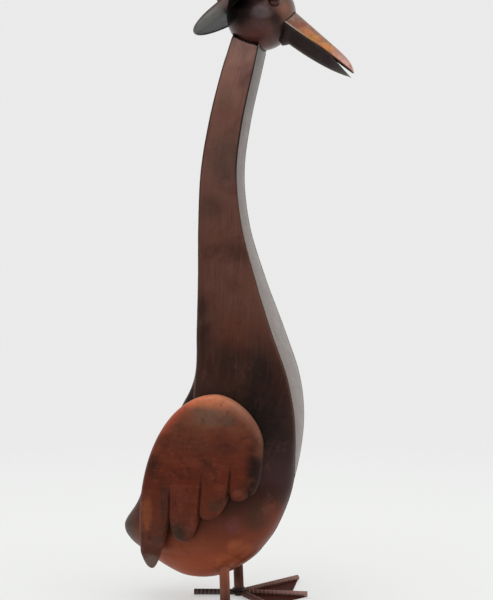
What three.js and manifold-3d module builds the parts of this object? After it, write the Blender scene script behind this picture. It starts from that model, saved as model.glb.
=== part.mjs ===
// A garden ornament welded from sheet iron and bar: an upright duck in a wide-brimmed hat.
// Millimetres. The bird looks along +X, its left side is +Y, and it stands on the plane z = 0.

import * as THREE from 'three';
import { mergeVertices } from 'three/addons/utils/BufferGeometryUtils.js';
import Module from 'manifold-3d';

const wasm = await Module();
wasm.setup();

// Stock and fits
const SHEET = 1.2; // thickness of the sheet iron
const GAP = 0.3; // left open where two pieces touch
const SEAM = 0.2; // from the middle plane to a side sheet at the keel
const STRIP_GAP = 0.4; // between a strip and the side sheets beside it

// The two long edges of the right and left side sheets, from under the head to the keel's lowest
// point. Each entry is [x, distance from the middle plane, z], and the two lists run in step.
const REAR_EDGE = [
  [12, 22, 806], [-9.2, 22, 741], [-26.8, 22, 673], [-38.7, 22, 604], [-42, 23, 530],
  [-41.5, 26, 456], [-42, 30, 384], [-44.3, 33, 316], [-64, 33, 274], [-108, 28, 208],
  [-131, 20, 142], [-156, 14, 102], [-148, 6, 81], [-122, -4, 60], [-82, 0, 40], [-46, 0, 34],
];
const FRONT_EDGE = [
  [51.4, 22, 806], [36.3, 22, 741], [20.8, 22, 673], [12.1, 22.5, 604], [19.4, 25, 530],
  [40.3, 33, 456], [65.4, 43, 384], [88.3, 41, 318], [96.3, 33, 265], [94.2, 18, 212],
  [83.2, -8, 152], [62.2, 0, 104], [48.5, 0, 85], [32.5, 0, 67], [-6, 0, 42], [-46, 0, 34],
];
// How far a side sheet swells beyond its edges halfway between them, in step with them
const DOME = [0, 0.8, 1, 1, 1.5, 4, 8, 13, 20, 32, 47, 52, 53, 50, 32, 0];
const SKEW = 0.35; // how strongly the belly's widest place moves forward where it swells most
const SIDE_ROWS = 26;
const SIDE_COLUMNS = 8;
const STRIP_CROWN = 1.5; // how far a strip bows outwards across its width
const STRIP_TIP = 1.6; // half the width of a strip's narrow end

// Head and eyes
const HEAD_CENTRE = new THREE.Vector3(42.3, 0, 821.4);
const HEAD_RADIUS = 48.5;
const HEAD_OPENING = 11; // radius of the opening inside the top of the neck
const NECK_TOP = new THREE.Vector3(27, 0, 779.6);
const NECK_TOP_SLOPE = 0.4; // radians that the side sheets' top edge falls towards the front
const EYE_RADIUS = 9;
const EYE_DIRECTION = new THREE.Vector3(28, 38.6, 8.7).normalize();

// Bill: a straight axis that slopes down from the ball, with two curved sheets about it. The
// distances along that axis and the heights above it are from the ball's centre.
const BILL_SLOPE = 0.679; // radians below level
const BILL_ROWS = [30, 44, 50, 56, 62, 80, 100, 118, 132, 142, 149, 153.5, 156];
const BILL_ROOT = 41; // where the sheets come out of the ball
const BILL_TIP = 157;
const BILL_LOWER_STRETCH = 1.02; // how much further the lower sheet reaches
const BILL_PARTING = 119; // from here to the tip the sheets stand apart
const BILL_EDGE = [10.9, 13.3]; // height of the upper sheet's edge at the ball and further out
const BILL_HALF_WIDTH = [24, 14]; // at the ball and near the tip
const BILL_UPPER_RISE = [20.3, 9.9]; // from the upper sheet's edge to its ridge
const BILL_LOWER_KEEL = [-7.6, 5.8]; // height of the lower sheet's lowest line at both ends
const BILL_GAPE = 6.6; // how far the lower sheet's edge drops by its tip
const BILL_NESTING = 1; // how much narrower the lower sheet is
const BILL_LUG = 8; // how far the lower sheet flares down where it meets the ball
const BILL_LUG_PLACE = [50, 6.5]; // middle and half length of that flare
const BILL_COLUMNS = 8;

// Hat: a disc that the ball sits in, tilted back and a little to the right
const HAT_TILT_BACK = THREE.MathUtils.degToRad(28.8);
const HAT_TILT_SIDE = THREE.MathUtils.degToRad(8.9);
const BRIM_HEIGHT = 27.4; // from the ball's centre, along the hat's axis
const BRIM_RADIUS = 93.6;
const BRIM_BEAD = 1.8; // radius of the rolled rim
const CROWN_RADIUS = 47;
const CROWN_TOP_RADIUS = 41;
const CROWN_WALL = 34; // height of the crown's side
const CROWN_HEIGHT = 50;

// Wings: pressed feathers in an oval sheet that stands off the belly
const WING_FEATHERS = [-118, -71.5, -28, 13.5, 40, 59.5]; // x of both ends and the grooves between
const WING_TIPS = [[-100, 53], [-52, 95], [-17, 127], [25, 153.5]]; // [x, z], from the rear
const WING_TIP_RISE = [[22, 67], [18, 34], [5, 30], [8, 7]]; // from a tip to the grooves beside it
const WING_TIP_POWER = [[2.4, 1.6], [2.4, 2.8], [2.4, 2.4], [2.4, 2.4]]; // how late it rises
const WING_TOP = new THREE.Vector2(-6, 296);
const WING_SHOULDER = [110, 229]; // z where the rear and the front edge leave the curve of the top
const WING_CURVE = [2.05, 1.7]; // powers of the two curves that make the top, 2 being an ellipse
const WING_GROOVE_TOP = [172, 186, 200, 178];
const WING_GROOVE_DEPTH = 4;
const WING_CENTRE = new THREE.Vector3(-25, 0, 170); // of the ellipsoid that the wing is pressed to
const WING_RADII = new THREE.Vector3(170, 74.5, 260);
const WING_ROLL = 8; // radius of the edge that turns in towards the body
const WING_ROWS = 5;
const WING_STAY = new THREE.Vector3(-8, 40, 206); // start, inside the body, of the bar that holds it
const STAY_RADIUS = 5;

// Legs and feet
const LEG_RADIUS = 7;
const LEG_TOP = new THREE.Vector3(-3.4, 33.5, 110); // inside the belly
const ANKLE = new THREE.Vector3(0.6, 36, 0);
const TOE_RADIUS = 4.5;
const TOE_LENGTHS = { outer: 118, middle: 98, inner: 72, rear: 65 };
// Degrees from straight ahead towards the foot's outer side; the right foot is turned out further
const TOE_ANGLES = {
  left: { outer: 57, middle: 7.5, inner: -44, rear: 194 },
  right: { outer: 79, middle: 34, inner: -12, rear: 174 },
};
const WEB_HEIGHT = 1; // of the underside of the webs
// Where each web's front edge ends, as shares of the lengths of the two toes it spans
const WEBS = {
  outer: { from: 'outer', to: 'middle', shares: [0.97, 0.75] },
  inner: { from: 'middle', to: 'inner', shares: [0.97, 0.95] },
};

// Finishes
const finish = (color, roughness, metalness) => ({ color, roughness, metalness });
const BODY_FINISH = finish(0x5a3a30, 0.42, 0.6);
const STRIP_FINISH = finish(0x8a7c74, 0.36, 0.6);
const WING_FINISH = finish(0x7a3f26, 0.48, 0.5);
const BILL_FINISH = finish(0xa8673c, 0.4, 0.6);
const HAT_FINISH = finish(0x6b625c, 0.42, 0.6);
const EYE_FINISH = finish(0x3a2420, 0.25, 0.3);
const BAR_FINISH = finish(0x5c4038, 0.6, 0.5);

const SIDES = { right: -1, left: 1 };
const model = new THREE.Group();

// Merges shared corners, drops flat triangles and turns the faces outwards
function closed(geometry) {
  const bare = new THREE.BufferGeometry();
  bare.setAttribute('position', geometry.getAttribute('position'));
  if (geometry.index) bare.setIndex(geometry.index);
  const merged = mergeVertices(bare, 1e-3);
  const position = merged.getAttribute('position');
  const corner = [0, 1, 2].map(() => new THREE.Vector3());
  const kept = [];
  let volume = 0;
  for (let i = 0; i < merged.index.count; i += 3) {
    const ids = [0, 1, 2].map((k) => merged.index.getX(i + k));
    if (ids[0] === ids[1] || ids[1] === ids[2] || ids[2] === ids[0]) continue;
    ids.forEach((id, k) => corner[k].fromBufferAttribute(position, id));
    volume += corner[0].dot(corner[1].clone().cross(corner[2]));
    kept.push(ids);
  }
  merged.setIndex(kept.flatMap(([a, b, c]) => (volume < 0 ? [a, c, b] : [a, b, c])));
  return merged;
}

// A closed sheet from a grid of points on its outer face, with the inner face a thickness below
function sheetGeometry(grid, thicknessOf = () => SHEET, keepInner = (point) => point) {
  const rows = grid.length;
  const columns = grid[0].length;
  const at = (i, j) => {
    const row = grid[Math.min(Math.max(i, 0), rows - 1)];
    return row[Math.min(Math.max(j, 0), columns - 1)];
  };
  const isPoint = (i) => at(i, 0).distanceTo(at(i, columns - 1)) < 1e-6;
  const normalAt = (i, j) => {
    if (isPoint(i)) {
      return normalAt(i === 0 ? 1 : i - 1, Math.floor(columns / 2));
    }
    const down = at(i + 1, j).clone().sub(at(i - 1, j));
    const across = at(i, j + 1).clone().sub(at(i, j - 1));
    return down.cross(across).normalize();
  };
  const outer = grid.flat();
  const inner = grid.flatMap((row, i) => row.map((point, j) => (
    keepInner(point.clone().addScaledVector(normalAt(i, j), -thicknessOf(i))))));
  const count = outer.length;
  const index = [];
  const quad = (a, b, c, d) => index.push(a, b, c, a, c, d);
  for (let i = 0; i < rows - 1; i += 1) {
    for (let j = 0; j < columns - 1; j += 1) {
      const a = i * columns + j;
      quad(a, a + columns, a + columns + 1, a + 1);
      quad(count + a, count + a + 1, count + a + columns + 1, count + a + columns);
    }
  }
  const rim = [];
  for (let j = 0; j < columns - 1; j += 1) rim.push(j);
  for (let i = 0; i < rows - 1; i += 1) rim.push(i * columns + columns - 1);
  for (let j = columns - 1; j > 0; j -= 1) rim.push((rows - 1) * columns + j);
  for (let i = rows - 1; i > 0; i -= 1) rim.push(i * columns);
  rim.forEach((a, k) => {
    const b = rim[(k + 1) % rim.length];
    quad(a, b, count + b, count + a);
  });
  const geometry = new THREE.BufferGeometry().setFromPoints([...outer, ...inner]);
  geometry.setIndex(index);
  return closed(geometry);
}

function solidOf(geometry) {
  const merged = closed(geometry);
  return new wasm.Manifold(new wasm.Mesh({
    numProp: 3,
    vertProperties: new Float32Array(merged.getAttribute('position').array),
    triVerts: new Uint32Array(merged.index.array),
  }));
}

function geometryOf(solid) {
  const { vertProperties, triVerts } = solid.getMesh();
  const geometry = new THREE.BufferGeometry();
  geometry.setAttribute('position', new THREE.BufferAttribute(vertProperties, 3));
  geometry.setIndex(new THREE.BufferAttribute(triVerts, 1));
  return closed(geometry);
}

function without(geometry, ...cutters) {
  const rest = cutters.reduce((solid, cutter) => solid.subtract(solidOf(cutter)), solidOf(geometry));
  return geometryOf(rest);
}

function add(name, geometry, look) {
  const mesh = new THREE.Mesh(geometry, new THREE.MeshStandardMaterial(look));
  mesh.name = name;
  model.add(mesh);
  return mesh;
}

// A round bar between two points, its facets turned so that one of them faces the floor
function bar(from, to, radius, sides) {
  const length = from.distanceTo(to);
  const corner = radius / Math.cos(Math.PI / sides);
  const rod = new THREE.CylinderGeometry(corner, corner, length, sides, 1, false, Math.PI / sides);
  const turn = new THREE.Quaternion().setFromUnitVectors(
    new THREE.Vector3(0, 1, 0), to.clone().sub(from).normalize());
  return rod.applyQuaternion(turn).translate(...from.clone().add(to).multiplyScalar(0.5).toArray());
}

function steps(count, point) {
  return Array.from({ length: count + 1 }, (_, i) => point(i / count));
}

// Mirrors a point that is given for the left side when the side is -1, the bird's right
function onSide(point, side) {
  return new THREE.Vector3(point.x, side * point.y, point.z);
}

// Body
const rearEdge = new THREE.CatmullRomCurve3(REAR_EDGE.map((p) => new THREE.Vector3(...p)));
const frontEdge = new THREE.CatmullRomCurve3(FRONT_EDGE.map((p) => new THREE.Vector3(...p)));
const domeCurve = new THREE.CatmullRomCurve3(DOME.map((d, i) => new THREE.Vector3(d, 10 * i, 0)));

function bodySkin(along, across) {
  const angle = Math.PI * across;
  const dome = Math.max(domeCurve.getPoint(along).x, 0);
  const skewed = Math.PI * across ** (1 + SKEW * dome / Math.max(...DOME));
  const rear = rearEdge.getPoint(along);
  const front = frontEdge.getPoint(along);
  rear.y = Math.max(rear.y, SEAM);
  front.y = Math.max(front.y, SEAM);
  const point = rear.lerp(front, (1 - Math.cos(angle)) / 2);
  point.y += dome * Math.sin(skewed);
  return point;
}

const BALL_SIDES = 32;
const ballCutter = new THREE.SphereGeometry(
  (HEAD_RADIUS + GAP) / Math.cos(Math.PI / BALL_SIDES), BALL_SIDES, 22,
).translate(...HEAD_CENTRE.toArray());
const neckTopCutter = new THREE.BoxGeometry(120, 80, 80).translate(0, 0, 40)
  .rotateY(NECK_TOP_SLOPE).translate(...NECK_TOP.toArray());

function sideSheet(side) {
  const grid = steps(SIDE_ROWS, (along) => steps(SIDE_COLUMNS, (across) => (
    onSide(bodySkin(along, side > 0 ? 1 - across : across), side))));
  const keepOnSide = (point) => {
    point.y = side * Math.max(side * point.y, SEAM);
    return point;
  };
  return without(sheetGeometry(grid, undefined, keepOnSide), neckTopCutter);
}

// A strip between the side sheets, along one of their long edges; outward is +1 for the breast
function bodyStrip(edge, outward) {
  const halfWidth = (along) => edge.getPoint(along).y - SHEET - STRIP_GAP;
  let end = 0.4;
  while (halfWidth(end + 0.002) > STRIP_TIP) end += 0.002;
  const grid = steps(SIDE_ROWS, (step) => {
    const along = step * end;
    const middle = edge.getPoint(along);
    const tangent = edge.getTangent(along);
    const out = new THREE.Vector3(-tangent.z, 0, tangent.x).normalize().multiplyScalar(outward);
    const half = halfWidth(along);
    return steps(4, (across) => {
      const crown = STRIP_CROWN * (half / 40) * (1 - (2 * across - 1) ** 2);
      const point = middle.clone().addScaledVector(out, crown);
      point.y = outward * half * (2 * across - 1);
      return point;
    });
  });
  return without(sheetGeometry(grid), ballCutter);
}

// The whole space inside the body's skin
function bodySolid() {
  const grid = steps(SIDE_ROWS, (along) => {
    const left = steps(SIDE_COLUMNS, (across) => onSide(bodySkin(along, across), 1));
    const right = steps(SIDE_COLUMNS, (across) => onSide(bodySkin(along, 1 - across), -1));
    return [...left, ...right];
  });
  const around = grid[0].length;
  const index = [];
  for (let i = 0; i < SIDE_ROWS; i += 1) {
    for (let j = 0; j < around; j += 1) {
      const a = i * around + j;
      const b = i * around + (j + 1) % around;
      index.push(a, a + around, b + around, a, b + around, b);
    }
  }
  const cap = (first, flip) => {
    for (let j = 1; j < around - 1; j += 1) {
      index.push(first, first + (flip ? j + 1 : j), first + (flip ? j : j + 1));
    }
  };
  cap(0, false);
  cap(SIDE_ROWS * around, true);
  const geometry = new THREE.BufferGeometry().setFromPoints(grid.flat());
  geometry.setIndex(index);
  return geometry;
}

add('body_side_right', sideSheet(-1), BODY_FINISH);
add('body_side_left', sideSheet(1), BODY_FINISH);
add('breast_strip', bodyStrip(frontEdge, 1), STRIP_FINISH);
add('back_strip', bodyStrip(rearEdge, -1), BODY_FINISH);

// Head
function hollowBall() {
  const openAngle = Math.asin(HEAD_OPENING / HEAD_RADIUS);
  const arc = (radius) => steps(11, (t) => {
    const angle = openAngle + t * (Math.PI - openAngle);
    const x = t === 1 ? 0 : radius * Math.sin(angle);
    return new THREE.Vector2(x, -radius * Math.cos(angle));
  });
  return closed(new THREE.LatheGeometry([...arc(HEAD_RADIUS), ...arc(HEAD_RADIUS - SHEET).reverse(),
    arc(HEAD_RADIUS)[0]], 24));
}

const head = add('head_ball', hollowBall(), BODY_FINISH);
head.position.copy(HEAD_CENTRE);
const awayFromNeck = HEAD_CENTRE.clone().sub(NECK_TOP).normalize();
head.quaternion.setFromUnitVectors(new THREE.Vector3(0, 1, 0), awayFromNeck);

function eyeStud(side) {
  const centre = onSide(EYE_DIRECTION, side).multiplyScalar(HEAD_RADIUS).add(HEAD_CENTRE);
  const stud = new THREE.SphereGeometry(EYE_RADIUS, 14, 8).translate(...centre.toArray());
  return without(stud, ballCutter);
}

add('eye_right', eyeStud(-1), EYE_FINISH);
add('eye_left', eyeStud(1), EYE_FINISH);

// Bill
const billAlong = new THREE.Vector3(Math.cos(BILL_SLOPE), 0, -Math.sin(BILL_SLOPE));
const billUp = new THREE.Vector3(Math.sin(BILL_SLOPE), 0, Math.cos(BILL_SLOPE));

function billDistance(upper, row) {
  return upper > 0 ? row : BILL_ROOT + (row - BILL_ROOT) * BILL_LOWER_STRETCH;
}

// upper is +1 for the upper sheet and -1 for the lower one
function billSection(upper, row) {
  const distance = billDistance(upper, row);
  const taper = Math.max((row - BILL_ROOT) / (BILL_TIP - BILL_ROOT), 0);
  const parting = Math.max((distance - BILL_PARTING) / (BILL_TIP - BILL_PARTING), 0);
  const half = THREE.MathUtils.lerp(...BILL_HALF_WIDTH, taper) * Math.sqrt(1 - taper ** 9);
  const reach = THREE.MathUtils.smoothstep(distance, BILL_ROOT, 115);
  const edge = THREE.MathUtils.lerp(...BILL_EDGE, reach);
  if (upper > 0) {
    const rise = THREE.MathUtils.lerp(...BILL_UPPER_RISE, taper) * (1 - taper ** 12);
    return { half, edge, rise, power: 1.6 };
  }
  const lowEdge = edge - GAP - BILL_GAPE * parting;
  const keel = THREE.MathUtils.lerp(...BILL_LOWER_KEEL, taper ** 2.2);
  const [lugMiddle, lugHalf] = BILL_LUG_PLACE;
  const lug = BILL_LUG * Math.max(1 - Math.abs(distance - lugMiddle) / lugHalf, 0);
  return { half: half - BILL_NESTING * half / BILL_HALF_WIDTH[0], edge: lowEdge,
    rise: lowEdge - keel + lug, power: 2 };
}

function billSheet(upper) {
  const sections = BILL_ROWS.map((row) => billSection(upper, row));
  const grid = sections.map(({ half, edge, rise, power }, i) => steps(BILL_COLUMNS, (across) => {
    const side = Math.sin(Math.PI * (across - 0.5));
    const height = edge + upper * rise * (1 - Math.abs(side) ** power);
    const point = HEAD_CENTRE.clone();
    point.addScaledVector(billAlong, billDistance(upper, BILL_ROWS[i]));
    point.addScaledVector(billUp, height);
    point.y = -upper * half * side;
    return point;
  }));
  const thicknessOf = (i) => Math.min(SHEET, sections[i].rise / 3, sections[i].half / 5);
  return without(sheetGeometry(grid, thicknessOf), ballCutter);
}

add('bill_upper', billSheet(1), BILL_FINISH);
add('bill_lower', billSheet(-1), BILL_FINISH);

// Hat
const hatAxis = new THREE.Vector3(
  -Math.sin(HAT_TILT_BACK) * Math.cos(HAT_TILT_SIDE),
  -Math.sin(HAT_TILT_SIDE),
  Math.cos(HAT_TILT_BACK) * Math.cos(HAT_TILT_SIDE),
);

function placeOnHatAxis(mesh, height) {
  mesh.position.copy(HEAD_CENTRE).addScaledVector(hatAxis, height);
  mesh.quaternion.setFromUnitVectors(new THREE.Vector3(0, 1, 0), hatAxis);
}

function brimGeometry() {
  const below = BRIM_HEIGHT - SHEET / 2;
  const hole = Math.sqrt(HEAD_RADIUS ** 2 - below ** 2) + GAP;
  const beadCentre = BRIM_RADIUS - BRIM_BEAD;
  const bead = steps(6, (t) => {
    const angle = THREE.MathUtils.lerp(-0.87, 0.87, t) * Math.PI;
    return new THREE.Vector2(beadCentre + BRIM_BEAD * Math.cos(angle), BRIM_BEAD * Math.sin(angle));
  });
  const profile = [
    new THREE.Vector2(hole, -SHEET / 2),
    ...bead,
    new THREE.Vector2(hole, SHEET / 2),
    new THREE.Vector2(hole, -SHEET / 2),
  ];
  return closed(new THREE.LatheGeometry(profile, 36));
}

function crownGeometry() {
  const skin = (inset) => [
    new THREE.Vector2(CROWN_RADIUS - inset, 0),
    ...steps(4, (t) => {
      const angle = t * Math.PI / 2;
      const radius = t === 1 ? 0 : (CROWN_TOP_RADIUS - inset) * Math.cos(angle) ** 0.6;
      const rise = (CROWN_HEIGHT - CROWN_WALL - inset) * Math.sin(angle);
      return new THREE.Vector2(radius, CROWN_WALL + rise);
    }),
  ];
  const outer = skin(0);
  return closed(new THREE.LatheGeometry([...outer, ...skin(SHEET).reverse(), outer[0]], 28));
}

placeOnHatAxis(add('hat_brim', brimGeometry(), HAT_FINISH), BRIM_HEIGHT);
placeOnHatAxis(add('hat_crown', crownGeometry(), HAT_FINISH), BRIM_HEIGHT + SHEET / 2 + GAP);

// Wings
function superCurve(share, power) {
  return (1 - share ** power) ** (1 / power);
}

function wingTopEdge(x) {
  const behind = x < WING_TOP.x;
  const end = behind ? WING_FEATHERS[0] : WING_FEATHERS.at(-1);
  const shoulder = WING_SHOULDER[behind ? 0 : 1];
  const share = Math.min((x - WING_TOP.x) / (end - WING_TOP.x), 1);
  return shoulder + (WING_TOP.y - shoulder) * superCurve(share, WING_CURVE[behind ? 0 : 1]);
}

function featherEnd(feather, x) {
  const [tipX, tipZ] = WING_TIPS[feather];
  const way = x < tipX ? 0 : 1;
  const groove = WING_FEATHERS[feather + way];
  const share = Math.min((x - tipX) / (groove - tipX), 1);
  return tipZ + WING_TIP_RISE[feather][way] * share ** WING_TIP_POWER[feather][way];
}

function wingBottomEdge(x) {
  const last = WING_TIPS.length;
  const feather = WING_FEATHERS.findIndex((groove, i) => x < groove - 1e-6 && i > 0) - 1;
  if (feather < 0 || feather >= last) {
    const foot = featherEnd(last - 1, WING_FEATHERS[last]);
    const span = WING_FEATHERS[last + 1] - WING_FEATHERS[last];
    const share = Math.min((x - WING_FEATHERS[last]) / span, 1);
    return foot + (WING_SHOULDER[1] - foot) * (1 - superCurve(share, 2.2));
  }
  const end = featherEnd(feather, x);
  const onGroove = feather > 0 && Math.abs(x - WING_FEATHERS[feather]) < 1e-6;
  return onGroove ? Math.max(end, featherEnd(feather - 1, x)) : end;
}

function grooveDrop(x, z) {
  const fade = (top) => THREE.MathUtils.smoothstep(top - z, 0, 26);
  for (let i = 1; i < WING_FEATHERS.length - 1; i += 1) {
    const [before, here, after] = WING_FEATHERS.slice(i - 1, i + 2);
    const reach = Math.min(after - here, here - before) / 3;
    const away = Math.abs(x - here) / reach;
    if (away < 1) return WING_GROOVE_DEPTH * (1 - away ** 2) * fade(WING_GROOVE_TOP[i - 1]);
  }
  return 0;
}

function wingColumns() {
  const columns = [];
  WING_FEATHERS.slice(0, -1).forEach((left, i) => {
    const right = WING_FEATHERS[i + 1];
    [0, 0.25, 0.5, 0.75].forEach((t) => columns.push(THREE.MathUtils.lerp(left, right, t)));
  });
  columns.splice(1, 0, columns[0] + WING_ROLL * 0.3);
  const frontEnd = WING_FEATHERS.at(-1);
  columns.push(frontEnd - WING_ROLL * 0.15, frontEnd);
  return columns;
}

function rollDrop(fromEdge) {
  const inside = Math.max(WING_ROLL - fromEdge, 0);
  return WING_ROLL - Math.sqrt(WING_ROLL ** 2 - inside ** 2);
}

function wingPoint(x, z, fromEdge) {
  const lengthwise = (x - WING_CENTRE.x) / WING_RADII.x;
  const upwards = (z - WING_CENTRE.z) / WING_RADII.z;
  const ellipse = 1 - lengthwise ** 2 - upwards ** 2;
  const y = WING_RADII.y * Math.sqrt(ellipse) - grooveDrop(x, z) - rollDrop(fromEdge);
  return new THREE.Vector3(x, y, z);
}

function wingSheet(side) {
  const columns = wingColumns();
  const ends = [columns[0], columns.at(-1)];
  const grid = columns.map((x) => {
    const top = wingTopEdge(x);
    const height = top - wingBottomEdge(x);
    const fit = Math.min(height / (4 * WING_ROLL), 1);
    const nearTop = [0, 0.15, 0.5].map((share) => share * WING_ROLL * fit);
    const nearBottom = nearTop.map((drop) => height - drop).reverse();
    const roll = WING_ROLL * fit;
    const middle = steps(WING_ROWS, (t) => THREE.MathUtils.lerp(roll, height - roll, t));
    return [...nearTop, ...middle, ...nearBottom].map((drop) => {
      const fromEdge = Math.min(drop, height - drop, x - ends[0], ends[1] - x);
      return onSide(wingPoint(x, top - drop, fromEdge), side);
    });
  });
  if (side < 0) grid.reverse();
  return sheetGeometry(grid);
}

// A short bar that holds a wing off the body
function wingStay(side) {
  const end = wingPoint(WING_STAY.x, WING_STAY.z, WING_ROLL);
  end.y -= SHEET + 3 * GAP;
  const stay = bar(onSide(WING_STAY, side), onSide(end, side), STAY_RADIUS, 12);
  return without(stay, bodySolid().translate(0, side * 2 * GAP, 0));
}

add('wing_right', wingSheet(-1), WING_FINISH);
add('wing_left', wingSheet(1), WING_FINISH);
add('wing_stay_right', wingStay(-1), BAR_FINISH);
add('wing_stay_left', wingStay(1), BAR_FINISH);

// Legs
function leg(side) {
  const rod = bar(onSide(ANKLE, side), onSide(LEG_TOP, side), LEG_RADIUS, 14);
  const floor = new THREE.BoxGeometry(60, 60, 20).translate(ANKLE.x, side * ANKLE.y, -10);
  return without(rod, bodySolid().translate(0, 0, -2 * GAP), floor);
}

// Feet; y is measured from the ankle towards the foot's outer side
function toeEnd(name, label, share = 1) {
  const angle = THREE.MathUtils.degToRad(TOE_ANGLES[label][name]);
  const reach = TOE_LENGTHS[name] * share;
  const end = new THREE.Vector3(reach * Math.cos(angle), reach * Math.sin(angle), 0).add(ANKLE);
  return onSide(end, SIDES[label]);
}

function toeBar(name, label, extra = 0) {
  const start = onSide(ANKLE, SIDES[label]);
  const reach = toeEnd(name, label).sub(start);
  const corner = (TOE_RADIUS + extra) / Math.cos(Math.PI / 8);
  const length = reach.length() + extra;
  const rod = new THREE.CylinderGeometry(corner, corner, length, 8, 1, false, Math.PI / 8);
  rod.rotateZ(-Math.PI / 2).translate(length / 2, 0, 0).rotateZ(Math.atan2(reach.y, reach.x));
  return rod.translate(start.x, start.y, TOE_RADIUS);
}

function ankleCutter(label) {
  const [low, high] = [-5, 40].map((z) => onSide(ANKLE, SIDES[label]).setZ(z));
  return bar(low, high, LEG_RADIUS + 2 * GAP, 14);
}

function toe(name, label) {
  const cutters = [ankleCutter(label)];
  if (name !== 'middle') cutters.push(toeBar('middle', label, GAP));
  if (name === 'inner') cutters.push(toeBar('outer', label, GAP));
  if (name === 'rear') cutters.push(toeBar('inner', label, GAP), toeBar('outer', label, GAP));
  return without(toeBar(name, label), ...cutters);
}

function web({ from, to, shares }, label) {
  const corners = [onSide(ANKLE, SIDES[label]), toeEnd(from, label, shares[0]), toeEnd(to, label, shares[1])];
  const shape = new THREE.Shape(corners.map((p) => new THREE.Vector2(p.x, p.y)));
  const plate = new THREE.ExtrudeGeometry(shape, { depth: SHEET, bevelEnabled: false })
    .translate(0, 0, WEB_HEIGHT);
  return without(plate, ankleCutter(label), toeBar(from, label, GAP), toeBar(to, label, GAP));
}

Object.entries(SIDES).forEach(([label, side]) => {
  add(`leg_${label}`, leg(side), BAR_FINISH);
  Object.keys(TOE_LENGTHS).forEach((name) => add(`toe_${name}_${label}`, toe(name, label), BAR_FINISH));
  Object.entries(WEBS).forEach(([name, spec]) => add(`web_${name}_${label}`, web(spec, label), WING_FINISH));
});

export default model;
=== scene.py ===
# %% [markdown]
# # An iron duck in a wide-brimmed hat
# The real ornament is a garden bird, about 0.9 m tall. It is cut from 1.2 mm sheet iron, bent,
# welded along its seams, browned with heat and acid, and brushed with a little wax. The legs are
# round bar and the toes are ribbed reinforcing bar. The measured frame from the CAD model is
# loaded first, so that every piece made below has its place already.

# %% Load the measured frame
import math

import bmesh
import bpy
import numpy as np
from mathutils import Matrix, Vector
from mathutils.bvhtree import BVHTree


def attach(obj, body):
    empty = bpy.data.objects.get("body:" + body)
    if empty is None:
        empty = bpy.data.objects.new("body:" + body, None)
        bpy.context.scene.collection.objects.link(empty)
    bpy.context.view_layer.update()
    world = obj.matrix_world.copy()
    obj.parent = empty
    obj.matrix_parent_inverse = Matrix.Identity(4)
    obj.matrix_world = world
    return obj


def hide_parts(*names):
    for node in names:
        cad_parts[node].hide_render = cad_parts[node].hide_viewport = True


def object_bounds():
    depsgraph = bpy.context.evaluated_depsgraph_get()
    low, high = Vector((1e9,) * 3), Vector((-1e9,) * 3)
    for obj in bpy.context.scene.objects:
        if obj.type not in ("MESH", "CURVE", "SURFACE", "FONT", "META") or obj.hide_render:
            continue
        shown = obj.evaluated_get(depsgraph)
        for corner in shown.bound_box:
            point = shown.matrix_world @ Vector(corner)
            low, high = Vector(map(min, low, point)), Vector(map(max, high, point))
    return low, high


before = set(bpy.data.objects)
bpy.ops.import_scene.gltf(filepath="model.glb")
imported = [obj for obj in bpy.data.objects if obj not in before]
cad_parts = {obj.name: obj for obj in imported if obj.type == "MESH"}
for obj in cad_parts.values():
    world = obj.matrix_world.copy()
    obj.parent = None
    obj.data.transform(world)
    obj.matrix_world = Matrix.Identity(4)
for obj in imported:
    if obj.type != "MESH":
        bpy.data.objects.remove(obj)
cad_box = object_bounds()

MM = 0.001
print("frame:", len(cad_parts), "nodes, box", [[round(v, 4) for v in c] for c in cad_box])

# %% [markdown]
# ## Where the camera stands
# The camera stands low and a little to the front of the bird's right side, about a metre and a
# half away, and looks level. A long lens keeps the tall neck straight.

# %% Camera
CAMERA_TURN = math.radians(15)
CAMERA_PLACE = (0.4092, -1.4489, 0.424)
FOCAL_SHARE = 1071 / 600  # focal length as a share of the picture's height

lens = bpy.data.cameras.new("camera")
lens.sensor_fit = "VERTICAL"
lens.sensor_height = 36
lens.lens = FOCAL_SHARE * lens.sensor_height
camera = bpy.data.objects.new("camera", lens)
camera.location = CAMERA_PLACE
camera.rotation_euler = (math.radians(90), 0, CAMERA_TURN)
bpy.context.scene.collection.objects.link(camera)
bpy.context.scene.camera = camera
print("camera: lens", round(lens.lens, 2), "mm")

# %% [markdown]
# ## Main measures
# A few sizes are needed by the finishes as well as by the pieces: the sheet's thickness, where
# the ball of the head is, which way the bill points, and where the grooves between the feathers
# run.

# %% Ball, bill and grooves
SHEET = 1.2 * MM  # how thick the iron is
GAP = 0.3 * MM  # between pieces that only touch
SEAM, STRIP_GAP = 0.2 * MM, 0.4 * MM  # from a side sheet to the middle plane, and to a strip
SIDES = {"left": 1, "right": -1}
BALL = np.array([42.3, 0, 821.4]) * MM
BALL_RADIUS = 48.5 * MM
BILL_SLOPE = 0.679  # radians
BILL_ALONG = (math.cos(BILL_SLOPE), 0, -math.sin(BILL_SLOPE))
BILL_UP = (math.sin(BILL_SLOPE), 0, math.cos(BILL_SLOPE))
# Each groove of a wing in millimetres: where its foot is, how it leans and where it ends above
GROOVES = [(-71.5, 110, 0.04, 180), (-28, 129, 0.09, 198), (13.5, 161, 0.095, 212),
           (40, 160, 0.08, 190)]
print("ball", BALL.tolist(), "and", len(GROOVES), "grooves on each wing")

# %% [markdown]
# ## Writing node sums as sums
# Materials and geometry trees are both built from nodes. One small class carries a socket
# along, so that `1 - mask` or `a * b` adds the Math nodes by itself. Every other node comes from
# its one method, which takes the node's type, its settings and what goes into its sockets.


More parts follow.
